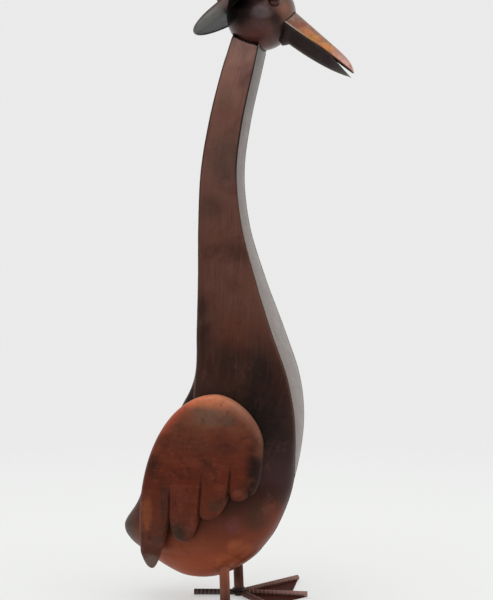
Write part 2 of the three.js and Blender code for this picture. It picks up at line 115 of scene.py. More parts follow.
# %% One value on its way through a node tree
class Wire:
    def __init__(self, tree, socket=None):
        self.tree = tree
        self.socket = socket

    def node(self, kind, settings=None, inputs=None, output=0):
        made = self.tree.nodes.new(kind)
        for name, value in (settings or {}).items():
            if name == "stops":
                self.set_stops(made.color_ramp, value)
            else:
                setattr(made, name, value)
        for key, value in (inputs or {}).items():
            for one in value if isinstance(value, list) else [value]:
                if isinstance(one, Wire):
                    self.tree.links.new(one.socket, made.inputs[key])
                else:
                    made.inputs[key].default_value = one
        return Wire(self.tree, made.outputs[output])

    @staticmethod
    def set_stops(ramp, stops):
        while len(ramp.elements) < len(stops):
            ramp.elements.new(1)
        for element, (place, colour) in zip(ramp.elements, stops):
            element.position = place
            element.color = colour

    def out(self, name):
        return Wire(self.tree, self.socket.node.outputs[name])

    def math(self, operation, first, *rest):
        return self.node("ShaderNodeMath", {"operation": operation}, dict(enumerate((first, *rest))))

    def __add__(self, other):
        return self.math("ADD", self, other)

    def __sub__(self, other):
        return self.math("SUBTRACT", self, other)

    def __rsub__(self, other):
        return self.math("SUBTRACT", other, self)

    def __mul__(self, other):
        return self.math("MULTIPLY", self, other)

    def __truediv__(self, other):
        return self.math("DIVIDE", self, other)

    def __rtruediv__(self, other):
        return self.math("DIVIDE", other, self)

    def __pow__(self, other):
        return self.math("POWER", self, other)

    __radd__ = __add__
    __rmul__ = __mul__

    def size(self):
        return self.math("ABSOLUTE", self)

    def at_least(self, low):
        return self.math("MAXIMUM", self, low)

    def at_most(self, high):
        return self.math("MINIMUM", self, high)

    def ease(self, low, high):
        """0 below low, 1 above high, and a soft slope between them."""
        return self.node("ShaderNodeMapRange", {"interpolation_type": "SMOOTHSTEP"},
                         {0: self, 1: low, 2: high})


print("node helper ready")

# %% [markdown]
# ## Colours of browned iron
# Heat and acid turn clean iron red-brown, orange or nearly black, and the brush then brings back
# some metal on the high places. So one recipe serves every sheet: a base colour that may change
# over the piece, cloudy patches, brush streaks, fine specks, and rubbed edges. The clouds and
# specks are noise on Object coordinates. Where the brush followed the sheet, the streaks are
# noise on the sheet's own UV map, stretched along it.


# %% Colour and noise helpers
def tone(code):
    """A web colour such as 7a4030 as the linear colour that the shader wants."""
    parts = [int(code[i:i + 2], 16) / 255 for i in (0, 2, 4)]
    return (*[c / 12.92 if c < 0.04045 else ((c + 0.055) / 1.055) ** 2.4 for c in parts], 1)


def clouds(place, size, detail=3, seed=0, rough=0.55, twist=0):
    """Noise whose patches are about size millimetres across."""
    return place.node("ShaderNodeTexNoise", {"noise_dimensions": "4D"}, {
        "Vector": place, "W": seed, "Scale": 1 / (size * MM), "Detail": detail,
        "Roughness": rough, "Distortion": twist})


def at_object(wire):
    """Object coordinates, which stay with the piece wherever the camera stands."""
    return wire.node("ShaderNodeTexCoord", output="Object")


def split(place):
    apart = place.node("ShaderNodeSeparateXYZ", None, {0: place})
    return [apart.out(axis) for axis in "XYZ"]


def edge_distance(wire):
    """The distance to the sheet's edge that each piece keeps on its points."""
    return wire.node("ShaderNodeAttribute", {"attribute_name": "from_edge"}, output="Fac")


def stretched(place, *shares):
    return place.node("ShaderNodeMapping", None, {"Vector": place, "Scale": shares})


def blend(base, other, share):
    return share.node("ShaderNodeMix", {"data_type": "RGBA"}, {0: share, 6: base, 7: other}, 2)


def ramp(value, *stops):
    colours = [(place, tone(code)) for place, code in stops]
    return value.node("ShaderNodeValToRGB", {"stops": colours}, {0: value})


def spot(x, z, ragged, across, up, wide, tall):
    """A soft-edged patch seen from the side: 1 in its middle and 0 outside, in millimetres."""
    off = ((x - across * MM) / (wide * MM)) ** 2 + ((z - up * MM) / (tall * MM)) ** 2
    return 1 - (off ** 0.5 + (ragged - 0.5) * 0.9).ease(0.3, 1.05)


print("helpers for colour ready")


# %% [markdown]
# ## The one recipe for the iron
# Only Base Color, Roughness and the bump change over a surface. How metallic the piece is, and
# its thin coat of wax, are plain numbers on the shader. The base may be one colour or a function
# of the place. Then come the spots that this piece has, the dark and pale clouds (patch), the
# strokes of the brush (streak), fine specks, and the rubbed edge (rub, or a rim of its own), which
# on some pieces also carries a painted highlight. The size of the clouds is grain, and brush says
# how far a stroke reaches along each axis, in millimetres.


# %% Browned iron
def browned_iron(name, base, dark="2a1712", light="a8745c", rim=None, spots=(), brush=(5, 70, 5),
                 on_uv=False, streak_from=None, patch=0.6, streak=0.35, metal=0.65, rough=0.36,
                 rub=0.3, dent=0.35, coat=0.12, shine=0.5, grain=1, seed=0):
    material = bpy.data.materials.new(name)
    material.use_nodes = True
    tree = material.node_tree
    shader = tree.nodes["Principled BSDF"]
    place = at_object(Wire(tree))
    x, y, z = split(place)
    brushed = stretched(place.out("UV") if on_uv else place, *[10 / length for length in brush])

    wide = clouds(place, 75 * grain, 4, seed, 0.6, 0.6)
    medium = clouds(place, 32 * grain, 4, seed + 2, 0.7, 0.2)
    small = clouds(place, 17 * grain, 4, seed + 3, 0.65, 0.4)
    specks = clouds(place, 2.4, 2, seed + 5)
    streaks = clouds(brushed, 10, 4, seed + 7, 0.7)
    hair = clouds(brushed, 2.2, 2, seed + 9)

    colour = base(x, y, z) if callable(base) else ramp(wide, (0.3, base), (0.7, base))
    for across, up, wide_by, tall_by, code, share in spots:
        colour = blend(colour, tone(code), spot(x, z, small, across, up, wide_by, tall_by) * share)
    colour = blend(colour, tone(dark), wide.ease(0.52, 0.76) * patch)
    colour = blend(colour, tone(dark), small.ease(0.54, 0.8) * (patch * 0.7))
    if streak_from:
        streak = z.ease(*streak_from) * streak
    colour = blend(colour, tone(light), streaks.ease(0.5, 0.85) * streak)
    colour = blend(colour, tone(dark), streaks.ease(0.48, 0.2) * streak)
    colour = blend(colour, tone(light), medium.ease(0.52, 0.8) * (patch * 0.4))
    colour = blend(colour, tone("140c0a"), specks.ease(0.66, 0.8) * 0.22)
    # The rubbed edge; where a piece has a rim of its own, that rim also holds a painted highlight.
    rubbed_and_highlit_edge = edge_distance(place).ease(2.4 * MM, 0.4 * MM) * (0.5 + small) * rub
    colour = blend(colour, rim(x, y, z) if rim else tone(light), rubbed_and_highlit_edge.at_most(1))
    tree.links.new(colour.socket, shader.inputs["Base Color"])

    sheen = rough + (small - 0.5) * 0.22 + (streaks - 0.5) * 0.2 + (specks - 0.5) * 0.06
    tree.links.new(sheen.socket, shader.inputs["Roughness"])

    fine = place.node("ShaderNodeBump", None, {
        "Strength": 0.5, "Distance": 0.25 * MM, "Height": specks * 0.6 + hair})
    broad = place.node("ShaderNodeBump", None, {
        "Strength": dent, "Distance": 3 * MM, "Normal": fine,
        "Height": clouds(place, 42, 1.5, seed + 11)})
    tree.links.new(broad.socket, shader.inputs["Normal"])
    plain = {"Metallic": metal, "Specular IOR Level": shine, "Coat Weight": coat,
             "Coat Roughness": 0.3}
    for socket, value in plain.items():
        shader.inputs[socket].default_value = value
    return material


# %% [markdown]
# ## The palette
# The neck is pinkish brown and rubbed with long strokes. The breast is almost black and the
# belly orange-red, partly from the patina and partly as painted reflection: of a dark room in the
# breast, and of the pale floor low on the belly. The strip down the front is bare, waxed grey
# iron. The bill is the brightest piece. The hat's tones come later, where its tilt is known. Each
# function below is given the place of a point as x, y and z, and most of them need only one of
# the three. The ramps give each colour its place as a share of a height or a length.


# %% Tones that change over a piece
NECK_HEIGHT, WING_HEIGHT = 800 * MM, 300 * MM
BILL_START, BILL_REACH = 70 * MM, 100 * MM  # where the bill's colours begin, and how far they go


# Orange-red low on the belly, nearly black over the breast and pinker up the neck. The black breast and the
# orange-red belly are partly patina and partly painted reflection, of a dark room in the breast and of the
# pale floor low on the belly.
def body_tones(x, y, z):
    return ramp(z / NECK_HEIGHT, (0.06, "9a4a2c"), (0.13, "6c3422"), (0.18, "44231a"),
                (0.25, "3a201a"), (0.34, "3c241c"), (0.42, "462a22"), (0.49, "613c31"),
                (0.66, "70493e"), (0.74, "7c544a"), (0.86, "8a6054"), (0.93, "a87a6d"),
                (0.99, "d4a496"))


def body_rim(x, y, z):
    """The edge is dark under the head and pale further down, partly rubbed and partly a painted highlight.
    """
    return ramp(z / NECK_HEIGHT, (0.3, "6c4c40"), (0.5, "4e342a"), (0.7, "6a483c"), (0.77, "331c16"))


def seam_tones(x, y, z):
    return ramp(z / NECK_HEIGHT, (0.3, "4a342c"), (0.5, "3a251e"), (0.7, "5c4036"), (0.77, "1c0e0b"))


# The dark top, where the strip meets the ball, is partly weld soot and partly painted shade under the ball.
def strip_tones(x, y, z):
    return ramp(z / NECK_HEIGHT, (0.2, "604c46"), (0.5, "67564c"), (0.8, "5e4d46"), (0.93, "4a3d35"),
                (0.985, "262420"))


def ball_tones(x, y, z):
    """Nearly black at the back of the head, a painted shadow of the brim; violet-grey further forward, a
    painted sheen; brown in front, and red-brown over the neck.
    """
    forward = ((x - BALL[0]) * 9 + (z - BALL[2]) * 2 + 0.0935).ease(-0.25, 0.5)
    low, behind = BALL[2] - z, BALL[0] - x
    over_neck = low.ease(1.4 * MM, 36.4 * MM) * behind.ease(-42.7 * MM, -12.7 * MM)
    # A painted shadow of the brim at the back, then a painted violet-grey sheen, then the brown front.
    skull_shade_and_sheen = ramp(forward, (0, "121110"), (0.45, "5e4a4c"), (1, "58382a"))
    return blend(skull_shade_and_sheen, tone("4c1d10"), over_neck * 0.8)


def bill_tones(x, y, z):
    """Golden along the middle of the sheet and greyer towards the ridge."""
    above_axis = (x - BALL[0]) * BILL_UP[0] + (z - BALL[2]) * BILL_UP[2]
    golden = ramp((x - BILL_START) / BILL_REACH, (0, "6e5852"), (0.24, "84574a"), (0.42, "c07c4c"),
                  (0.7, "c4824e"), (0.9, "c4988c"))
    return blend(golden, tone("7c6258"), above_axis.ease(19 * MM, 27 * MM) * 0.75)


# The edge of the upper bill: pale grey near the root, golden further on and dark towards the tip. The pale
# and golden parts are partly rubbed and partly a painted highlight on the edge.
def bill_rim(x, y, z):
    return ramp((x - BILL_START) / BILL_REACH, (0.05, "b4a8a0"), (0.3, "b09a80"), (0.45, "b07a48"),
                (0.6, "5a3018"))


# Nearly black, and greyer towards the tip: a painted sheen, the floor reflected underneath.
def lower_bill_tones(x, y, z):
    return ramp((x - BILL_START) / BILL_REACH, (0, "2e1c1c"), (0.3, "33201f"), (0.5, "302621"),
                (0.7, "352124"), (1, "565a4e"))


def wing_tones(x, y, z):
    """Darker in the grooves, partly soot and partly painted shade; painted shade in a band down the front,
    which faces away from the light; and a painted highlight where the top turns in.
    """
    lift = clouds(at_object(x), 60, 2, 21)
    height = (z + (lift - 0.5) * (50 * MM)) / WING_HEIGHT
    front = ((x - (z - 160 * MM) * 0.08).ease(29 * MM, 45 * MM)
             * (lift * (120 * MM) + z).ease(320 * MM, 265 * MM))
    # The palest stops at the very top are a painted highlight where the wing's top catches the light.
    plain = ramp(height, (0.25, "512a1e"), (0.4, "5f2a1a"), (0.62, "602513"), (0.78, "683121"),
                (0.87, "74432f"), (0.93, "8c5844"), (0.985, "dc825a"))
    # Painted shade in the band down the front, which faces away from the light.
    colour = blend(plain, tone("1b110b"), front * 0.92)
    # Along the grooves, partly soot and partly painted shade in the creases.
    for low_x, low_z, lean, end in GROOVES[:3]:
        off = x - (low_x * MM + (z - low_z * MM) * lean)
        groove_soot_and_shade = off.size().ease(2.2 * MM, 0.7 * MM) * z.ease(end * MM, (end - 24) * MM)
        colour = blend(colour, tone("24120b"), groove_soot_and_shade * 0.6)
    # A painted highlight on the rim where the top turns in and catches the light.
    high = (z + (lift - 0.5) * (60 * MM)).ease(200 * MM, 250 * MM)
    painted_rim_highlight = edge_distance(x).ease(16 * MM, 2 * MM) * high
    rim_highlight_tones = ramp((x + 100 * MM) / (150 * MM), (0.05, "a0503c"), (0.3, "c8583a"),
                  (0.65, "cc8460"), (0.85, "a8745e"), (0.96, "7c5142"))
    return blend(colour, rim_highlight_tones, painted_rim_highlight * 0.7)


# The wing's edge colour: dark at mid height, painted shade where the edge lies beside the body, and pale
# near the top, a painted highlight.
def wing_rim(x, y, z):
    return ramp(z / WING_HEIGHT, (0.45, "7c4c3c"), (0.6, "38201a"), (0.78, "4a2c22"),
                (0.9, "b07a66"))


def bar_tones(x, y, z):
    """Orange-brown legs, the left one darker with painted shade, and toes that are paler towards their tips,
    a painted highlight.
    """
    # The pale tips of the toes are a painted highlight.
    toe = ramp((x + 60 * MM) / (160 * MM), (0.2, "463b3a"), (0.42, "4c2c25"), (0.6, "6c4840"),
               (0.95, "a07c76"))
    leg = ramp(z / (50 * MM), (0.3, "6b4235"), (1, "904f38"))
    # Painted shade on the left leg, which stands further from the light.
    leg = blend(leg, tone("3c1f17"), y.ease(0, 20 * MM) * z.ease(10 * MM, 30 * MM) * 0.8)
    return blend(leg, toe, z.ease(16 * MM, 9 * MM))


print("tones ready")

# %% [markdown]
# ## Spots
# Where the acid pooled or the torch stayed, a blot of another colour is left. Other spots are
# painted light: painted shade, painted shadows and painted highlights, each marked where it
# stands. Each spot is seen from the side, in millimetres: how far forward and up it is, its half
# width and half height, then its colour and how strong it is.

# %% Spots of each piece
BODY_SPOTS = [
    (-1, 618, 34, 46, "59463c", 0.6), (-24, 552, 26, 22, "4f3833", 0.55), (9, 575, 16, 10, "5c3a32", 0.4),
    (-8, 500, 34, 28, "70463a", 0.5), (-2, 700, 14, 34, "6c5244", 0.35), (14, 352, 26, 34, "2e231c", 0.5),
    (-38, 390, 22, 60, "2e1e18", 0.7), (52, 330, 22, 40, "241e1a", 0.6),
    # The dark spot 84 mm forward and 215 mm up is painted shade: the dark room reflected in the breast.
    (14, 376, 30, 40, "6a3a2c", 0.55), (84, 215, 46, 80, "2a1a17", 0.85),
    # The black spot 35 mm forward and 250 mm up is a painted shadow of the wing on the body. The orange
    # spots low on the belly, here and a few lines further down, are partly patina and partly painted
    # reflection of the pale floor.
    (58, 290, 40, 60, "291a15", 0.6), (35, 250, 60, 60, "140e0c", 0.8), (5, 66, 26, 18, "b05c38", 0.6),
    (10, 345, 30, 40, "36221a", 0.4),
    # The black spot 66 mm behind is a painted shadow of the wing on the rump. The thin pale line 43 mm
    # behind is a painted highlight along a sheet's edge. The dark spot 73 mm forward is painted shade: the
    # dark room reflected in the breast.
    (-66, 292, 27, 38, "0e0908", 0.97), (-43, 300, 2, 24, "7c6458", 0.6), (73, 189, 26, 36, "3c2423", 0.7),
    # The grey spot on the tail, 150 mm behind, is a painted reflection, and the dark spot 97 mm forward is
    # painted shade: the dark room reflected in the breast.
    (-150, 100, 28, 50, "4a3f39", 0.85), (97, 210, 18, 42, "301b1c", 0.75), (66, 122, 24, 30, "7c3624", 0.5),
    (16, 118, 13, 16, "6c3a3c", 0.5), (48, 128, 22, 24, "3c2c20", 0.55), (22, 88, 20, 14, "b0603e", 0.45),
    (36, 100, 16, 12, "7a3a24", 0.4), (-30, 84, 20, 10, "82422c", 0.5),
    (24, 764, 6, 26, "a8807a", 0.5), (26, 735, 15, 24, "7e5358", 0.35), (-4, 676, 20, 20, "805048", 0.4),
]
BALL_SPOTS = [
    # The black spot at the back is a painted shadow of the brim. The pale violet-grey spot under the eye and
    # the grey spot low at the front are painted sheen. The dark spot 73 mm forward lies just under the
    # bill's root.
    (12, 828, 32, 34, "080908", 0.97), (54, 814, 17, 12, "a08a8e", 0.65), (73, 796, 11, 22, "2c1a17", 0.8),
    (84, 818, 12, 14, "764632", 0.5), (68, 779, 16, 8, "463a3c", 0.6), (38, 788, 22, 9, "4a1c10", 0.6),
]
BILL_SPOTS = [
    (121, 780, 9, 6, "d89a4c", 0.7), (128, 781, 4, 4, "c05840", 0.6), (140, 768, 10, 7, "d08046", 0.6),
    (103, 801, 9, 6, "8c4236", 0.7), (112, 790, 8, 5, "c07048", 0.5), (151, 760, 8, 5, "b47e76", 0.5),
    (90, 812, 12, 8, "8a706a", 0.6), (133, 778, 7, 4, "7c5648", 0.5),
]
WING_SPOTS = [
    (-12, 266, 36, 18, "6e5646", 0.65), (14, 262, 16, 10, "55463b", 0.5), (-46, 268, 16, 9, "8a4630", 0.5),
    (-60, 108, 30, 22, "2e2519", 0.75), (-77, 150, 7, 40, "33241a", 0.6), (-100, 62, 20, 16, "6e5c54", 0.8),
    (-88, 94, 13, 12, "48302a", 0.6), (-104, 130, 12, 34, "94502c", 0.55), (-40, 205, 40, 9, "84422c", 0.3),
    (10, 225, 22, 13, "452418", 0.5), (-95, 195, 12, 22, "44231a", 0.5), (-30, 228, 40, 14, "56301f", 0.4),
    (-4, 148, 13, 12, "40301f", 0.55), (-80, 232, 22, 14, "54291a", 0.5), (-52, 160, 12, 20, "6c3424", 0.4),
    (28, 166, 10, 7, "7a4236", 0.5), (-38, 110, 12, 16, "6c3830", 0.4), (-6, 190, 16, 18, "6e3322", 0.4),
]
print("spots:", *map(len, (BODY_SPOTS, BALL_SPOTS, BILL_SPOTS, WING_SPOTS)))

# %% [markdown]
# ## Finishes of this bird
# Each piece gets the recipe with its own numbers. On the body and the breast strip the strokes
# of the brush run along the sheet, so they follow its UV map. The other pieces take them from
# Object coordinates.

# %% Finishes
SOOT = dict(brush=(4, 4, 4), streak=0.2, metal=0.4, rough=0.6, rub=0, coat=0)
iron = {
    "body": browned_iron("body_patina", body_tones, light="986a5a", rim=body_rim, rub=0.9,
                         spots=BODY_SPOTS, on_uv=True, patch=0.5, streak=0.5,
                         streak_from=(0.2, 0.5), metal=0.45, rough=0.42, coat=0.02, shine=0.2,
                         seed=1),
    "strip": browned_iron("strip_patina", strip_tones, "5a4a44", "b3aaa2", on_uv=True, patch=0.35,
                          metal=0.75, rough=0.3, seed=4),
    "ball": browned_iron("head_patina", ball_tones, "1d1514", spots=BALL_SPOTS, brush=(14, 14, 14),
                         patch=0.45, streak=0.15, rough=0.3, grain=0.6, seed=8),
    "bill": browned_iron("bill_patina", bill_tones, "6e3622", "e0a878", rim=bill_rim, rub=1.3,
                         spots=BILL_SPOTS, brush=(5, 5, 5), patch=0.85, streak=0.6, rough=0.38,
                         grain=0.28, coat=0.08, seed=12),
    "lower_bill": browned_iron("lower_bill_patina", lower_bill_tones, "1c1210", "6a6468",
                               brush=(60, 8, 8), patch=0.4, streak=0.2, metal=0.1, rough=0.5,
                               rub=0.15, coat=0, shine=0.25, grain=0.5, seed=15),
    "wing": browned_iron("wing_patina", wing_tones, "30190f", "9c5439", rim=wing_rim, rub=0.35,
                         spots=WING_SPOTS, brush=(22, 12, 7), patch=1.0, streak=0.4, metal=0.3,
                         rough=0.52, dent=0.5, coat=0, shine=0.2, grain=0.5, seed=22),
    "bar": browned_iron("bar_patina", bar_tones, "2c1a16", "b08a7e", brush=(10, 10, 20),
                        streak=0.2, rough=0.5, shine=0.3, seed=26),
    "web": browned_iron("web_patina", "3e150a", "1c0d09", "64382c", brush=(20, 20, 20), metal=0,
                        rough=0.7, rub=0.2, coat=0, shine=0.08, seed=30),
    "eye": browned_iron("eye_patina", "4a2a24", "241412", "7d5a52", brush=(10, 10, 10),
                        rough=0.25, rub=0, seed=34),
    "seam": browned_iron("seam_soot", seam_tones, "120c0a", "6b4a3e", seed=36, **SOOT),
    "rear_seam": browned_iron("rear_seam_soot", "4e342b", "2a1914", "7a584c", seed=40, **SOOT),
    "weld": browned_iron("weld_soot", "1c1310", "120c0a", "6b4a3e", brush=(4, 4, 4), streak=0.25,
                         metal=0.5, rough=0.55, rub=0, seed=38),
}
print("finishes:", ", ".join(sorted(iron)))

# %% [markdown]
# ## From a grid of points to a piece of sheet
# A sheet-metal worker cuts a flat blank and bends it. Here the outer face is worked out as a
# grid of points in rows and columns, the inner face lies one thickness below it, and the rim
# closes the two. A distance to the sheet's edge is stored on every point, so that the finish can
# be rubbed bright there and a wing can get a painted highlight along its rim, and the UV map is
# measured in metres along the sheet.


# %% Sheet helpers
def put(name, mesh, material):
    """A finished piece: at the origin, unturned and unscaled, with smooth faces and sharp rims."""
    mesh.name = name
    mesh.materials.clear()
    mesh.materials.append(material)
    mesh.shade_smooth()
    mesh.set_sharp_from_angle(angle=math.radians(38))
    piece = bpy.data.objects.new(name, mesh)
    bpy.context.scene.collection.objects.link(piece)
    return piece


def steps_along(grid, axis):
    """How far each point lies from the grid's first one along an axis, measured on the sheet."""
    step = np.linalg.norm(np.diff(grid, axis=axis), axis=-1)
    return np.insert(np.cumsum(step, axis=axis), 0, 0, axis=axis)


def outward(grid):
    """Unit normals of a grid: down the rows, crossed with along the columns."""
    normal = np.cross(np.gradient(grid, axis=0), np.gradient(grid, axis=1))
    length = np.linalg.norm(normal, axis=-1, keepdims=True)
    weak = length[..., 0] < 1e-12
    normal = normal / np.maximum(length, 1e-12)
    for i, j in np.argwhere(weak):
        row = 1 if i == 0 else i - 1 if i == len(grid) - 1 else i
        column = j - 1 if row == i and j else j
        normal[i, j] = normal[row, column]
    return normal


def edge_room(across):
    """How far each point lies from the nearer end of its row."""
    return np.minimum(across, across[:, -1:] - across)


def mark_edge(mesh, distance):
    mesh.attributes.new("from_edge", "FLOAT", "POINT").data.foreach_set("value", distance)


def sheet(name, grid, material, from_edge=None, keep=None):
    """A closed piece of sheet whose outer face is the grid; keep may hold its inner face back."""
    rows, columns = grid.shape[:2]
    inner = grid - outward(grid) * SHEET
    if keep:
        inner = keep(inner)
    across, along = steps_along(grid, 1), steps_along(grid, 0)
    if from_edge is None:
        from_edge = edge_room(across)
    count = rows * columns
    number = np.arange(count).reshape(rows, columns)
    a, b = number[:-1, :-1].ravel(), number[1:, :-1].ravel()
    c, d = number[1:, 1:].ravel(), number[:-1, 1:].ravel()
    rim = np.concatenate([number[0], number[1:, -1], number[-1, -2::-1], number[-2:0:-1, 0]])
    after = np.roll(rim, -1)
    faces = np.vstack([
        np.stack([a, b, c, d], 1),
        np.stack([a, d, c, b], 1) + count,
        np.stack([rim, after, after + count, rim + count], 1),
    ])
    mesh = bpy.data.meshes.new(name)
    points = np.concatenate([grid.reshape(-1, 3), inner.reshape(-1, 3)])
    mesh.from_pydata(points.tolist(), [], faces.tolist())
    mark_edge(mesh, np.tile(from_edge.ravel(), 2))
    flat = np.tile(np.stack([across, along], -1).reshape(-1, 2), (2, 1))
    corners = np.empty(len(mesh.loops), int)
    mesh.loops.foreach_get("vertex_index", corners)
    mesh.uv_layers.new(name="sheet").data.foreach_set("uv", flat[corners].ravel())
    tidy_mesh(mesh)
    return put(name, mesh, material)


def tidy_mesh(mesh):
    """Merges corners that lie on each other and removes faces that have no area left."""
    work = bmesh.new()
    work.from_mesh(mesh)
    bmesh.ops.remove_doubles(work, verts=work.verts, dist=1e-6)
    bmesh.ops.dissolve_degenerate(work, edges=work.edges, dist=1e-7)
    work.to_mesh(mesh)
    work.free()


print("sheet helpers ready")

# %% [markdown]
# ## The body's two long edges
# Both side sheets share the same outline: one long edge down the back and one down the breast,
# from under the head to the lowest point of the keel. The points are given in millimetres as
# forward, sideways and up. A smooth line runs through them, the same one that the frame uses.

# %% Edges of the side sheets
REAR_EDGE = np.array([
    [12, 22, 806], [-9.2, 22, 741], [-26.8, 22, 673], [-38.7, 22, 604], [-42, 23, 530],
    [-41.5, 26, 456], [-42, 30, 384], [-44.3, 33, 316], [-64, 33, 274], [-108, 28, 208],
    [-131, 20, 142], [-155.2, 14, 102], [-148, 6, 81], [-122, -4, 60], [-82, 0, 40], [-46, 0, 34],
]) * MM
FRONT_EDGE = np.array([
    [51.4, 22, 806], [36.3, 22, 741], [20.8, 22, 673], [12.1, 22.5, 604], [19.4, 25, 530],
    [40.3, 33, 456], [65.4, 43, 384], [88.3, 41, 318], [96.3, 33, 265], [94.2, 18, 212],
    [83.2, -8, 152], [62.2, 0, 104], [48.5, 0, 85], [32.5, 0, 67], [-6, 0, 42], [-46, 0, 34],
]) * MM
# How far the sheet swells outwards at each of those places
SWELL = np.array([0, 0.8, 1, 1, 1.5, 4, 8, 13, 20, 32, 47, 52, 53, 50, 32, 0]) * MM
SWELL_LINE = np.array([(s, 10 * MM * i, 0) for i, s in enumerate(SWELL)])
SKEW = 0.35  # how much the widest place moves forward as the swell grows
NECK_TOP = np.array([27, 0, 779.6]) * MM  # a place on the cut under the head, and how it falls
NECK_TOP_FALL = math.tan(0.4)
TOP_END_WITHIN = 0.2  # share of a long edge in which the top ends of all the sheets lie


def smooth_line(points, along):
    """Places on the smooth line through some points; along runs from 0 to 1."""
    last = len(points) - 1
    place = np.clip(np.asarray(along, float), 0, 1) * last
    start = np.minimum(place.astype(int), last - 1)
    t = (place - start)[..., None]
    ends = np.vstack([2 * points[0] - points[1], points, 2 * points[-1] - points[-2]])
    p0, p1, p2, p3 = (ends[start + k] for k in range(4))
    d0, d1, d2 = (np.maximum(np.sum((q - p) ** 2, axis=-1, keepdims=True), 1e-18) ** 0.25
                  for p, q in ((p0, p1), (p1, p2), (p2, p3)))
    leave = ((p1 - p0) / d0 - (p2 - p0) / (d0 + d1) + (p2 - p1) / d1) * d1
    arrive = ((p2 - p1) / d1 - (p3 - p1) / (d1 + d2) + (p3 - p2) / d2) * d1
    return (p1 + leave * t + (3 * (p2 - p1) - 2 * leave - arrive) * t ** 2
            + (2 * (p1 - p2) + leave + arrive) * t ** 3)


def body_skin(along, across):
    """Points of the left side's skin: along from neck to keel, across from back to breast."""
    swell = np.maximum(smooth_line(SWELL_LINE, along)[..., 0], 0)
    skewed = np.pi * across ** (1 + SKEW * swell / SWELL.max())
    rear, front = smooth_line(REAR_EDGE, along), smooth_line(FRONT_EDGE, along)
    for edge in (rear, front):
        edge[..., 1] = np.maximum(edge[..., 1], SEAM)
    share = (1 - np.cos(np.pi * across)) / 2
    point = rear + (front - rear) * share[..., None]
    point[..., 1] += swell * np.sin(skewed)
    return point


def halve_to(low, high, inside):
    """Closes in on where a test changes from true at low to false at high."""
    low, high = np.array(low, float), np.array(high, float)
    for _ in range(40):
        middle = (low + high) / 2
        yes = inside(middle)
        low, high = np.where(yes, middle, low), np.where(yes, high, middle)
    return high


def sided(places, label):
    """Places of the left side, moved to the side that the label names."""
    return places * [1, SIDES[label], 1]


def mirrored(grid):
    """The same sheet for the right side, with its columns turned round so that it faces out."""
    return sided(grid, "right")[:, ::-1]


print("edges:", len(REAR_EDGE), "points each")

# %% [markdown]
# ## Side sheets
# The maker bent each side from one sheet and hammered the belly out over a bag of sand. The
# swell is a half wave across the sheet that grows towards the belly, and its widest place moves
# forward as it grows. Under the head the sheet is cut off straight, a little below the ball. A
# hammered sheet is never quite even, so shallow waves of about half a millimetre are added
# inwards.


# %% Both sides of the body
def hammered(grid, depth=0.5 * MM, calm=12 * MM):
    """Shallow dents, pressed inwards, that fade out within calm of the sheet's long edges."""
    x, _, z = np.moveaxis(grid, -1, 0)
    wave = (np.sin(61 * z + 3 * np.sin(47 * x)) * np.sin(53 * x + 2 * np.sin(31 * z) + 1)
            + 0.5 * np.sin(131 * z + 97 * x)) / 3 + 0.5
    fade = np.clip(edge_room(steps_along(grid, 1)) / calm, 0, 1)
    return grid - outward(grid) * (depth * wave * fade)[..., None]


def side_grid(rows=230, columns=45):
    across = np.linspace(0, 1, columns)

    def above_cut(along):
        point = body_skin(along, across)
        return point[:, 2] > NECK_TOP[2] - NECK_TOP_FALL * (point[:, 0] - NECK_TOP[0])

    top = halve_to(np.zeros(columns), np.full(columns, TOP_END_WITHIN), above_cut)
    along = top + (1 - top) * np.linspace(0, 1, rows)[:, None]
    return body_skin(along, across + 0 * along)


def on_side(side):
    """Holds the inner face of a side sheet on its own side of the middle plane."""
    def keep(inner):
        inner[..., 1] = side * np.maximum(side * inner[..., 1], SEAM)
        return inner
    return keep


left_side = hammered(side_grid()[:, ::-1])
body_left = sheet("body_side_left_skin", left_side, iron["body"], keep=on_side(1))
body_right = sheet("body_side_right_skin", mirrored(left_side), iron["body"], keep=on_side(-1))
print("side sheets:", len(body_left.data.polygons), "faces each")

# %% [markdown]
# ## Breast and back strips
# Two long strips close the body in front and behind. Each is as wide as the gap between the
# side sheets, so it narrows to a point where they meet, and it bows out a little. Its top end is
# cut to the round of the ball that rests on it.


# %% The two strips
STRIP_TIP = 1.6 * MM  # half the strip's width where it ends
STRIP_BOW = 1.5 / 40  # how far it bows out, as a share of half its width
STRIP_STEP = 0.002


def strip_half(edge, along):
    return smooth_line(edge, along)[..., 1] - SHEET - STRIP_GAP


def strip_end(edge):
    along = np.arange(0.4, 1, STRIP_STEP)
    return along[np.argmax(strip_half(edge, along) <= STRIP_TIP)] - STRIP_STEP


def strip_point(edge, facing, along, share):
    """A strip's point; share runs across it from -1 to 1, and facing is 1 for the breast."""
    step = 1e-4
    run = smooth_line(edge, along + step) - smooth_line(edge, along - step)
    out = np.stack([-run[..., 2], 0 * along, run[..., 0]], -1) * facing
    out /= np.linalg.norm(out, axis=-1, keepdims=True)
    half = strip_half(edge, along)
    point = smooth_line(edge, along) + out * (half * STRIP_BOW * (1 - share ** 2))[..., None]
    point[..., 1] = facing * half * share
    return point


def strip_grid(edge, facing, rows=230, columns=15):
    share = np.linspace(-1, 1, columns)

    def in_ball(along):
        away = np.linalg.norm(strip_point(edge, facing, along, share) - BALL, axis=-1)
        return away < BALL_RADIUS + GAP

    top = halve_to(np.full(columns, STRIP_STEP), np.full(columns, TOP_END_WITHIN), in_ball)
    along = top + (strip_end(edge) - top) * np.linspace(0, 1, rows)[:, None]
    return strip_point(edge, facing, along, share + 0 * along)


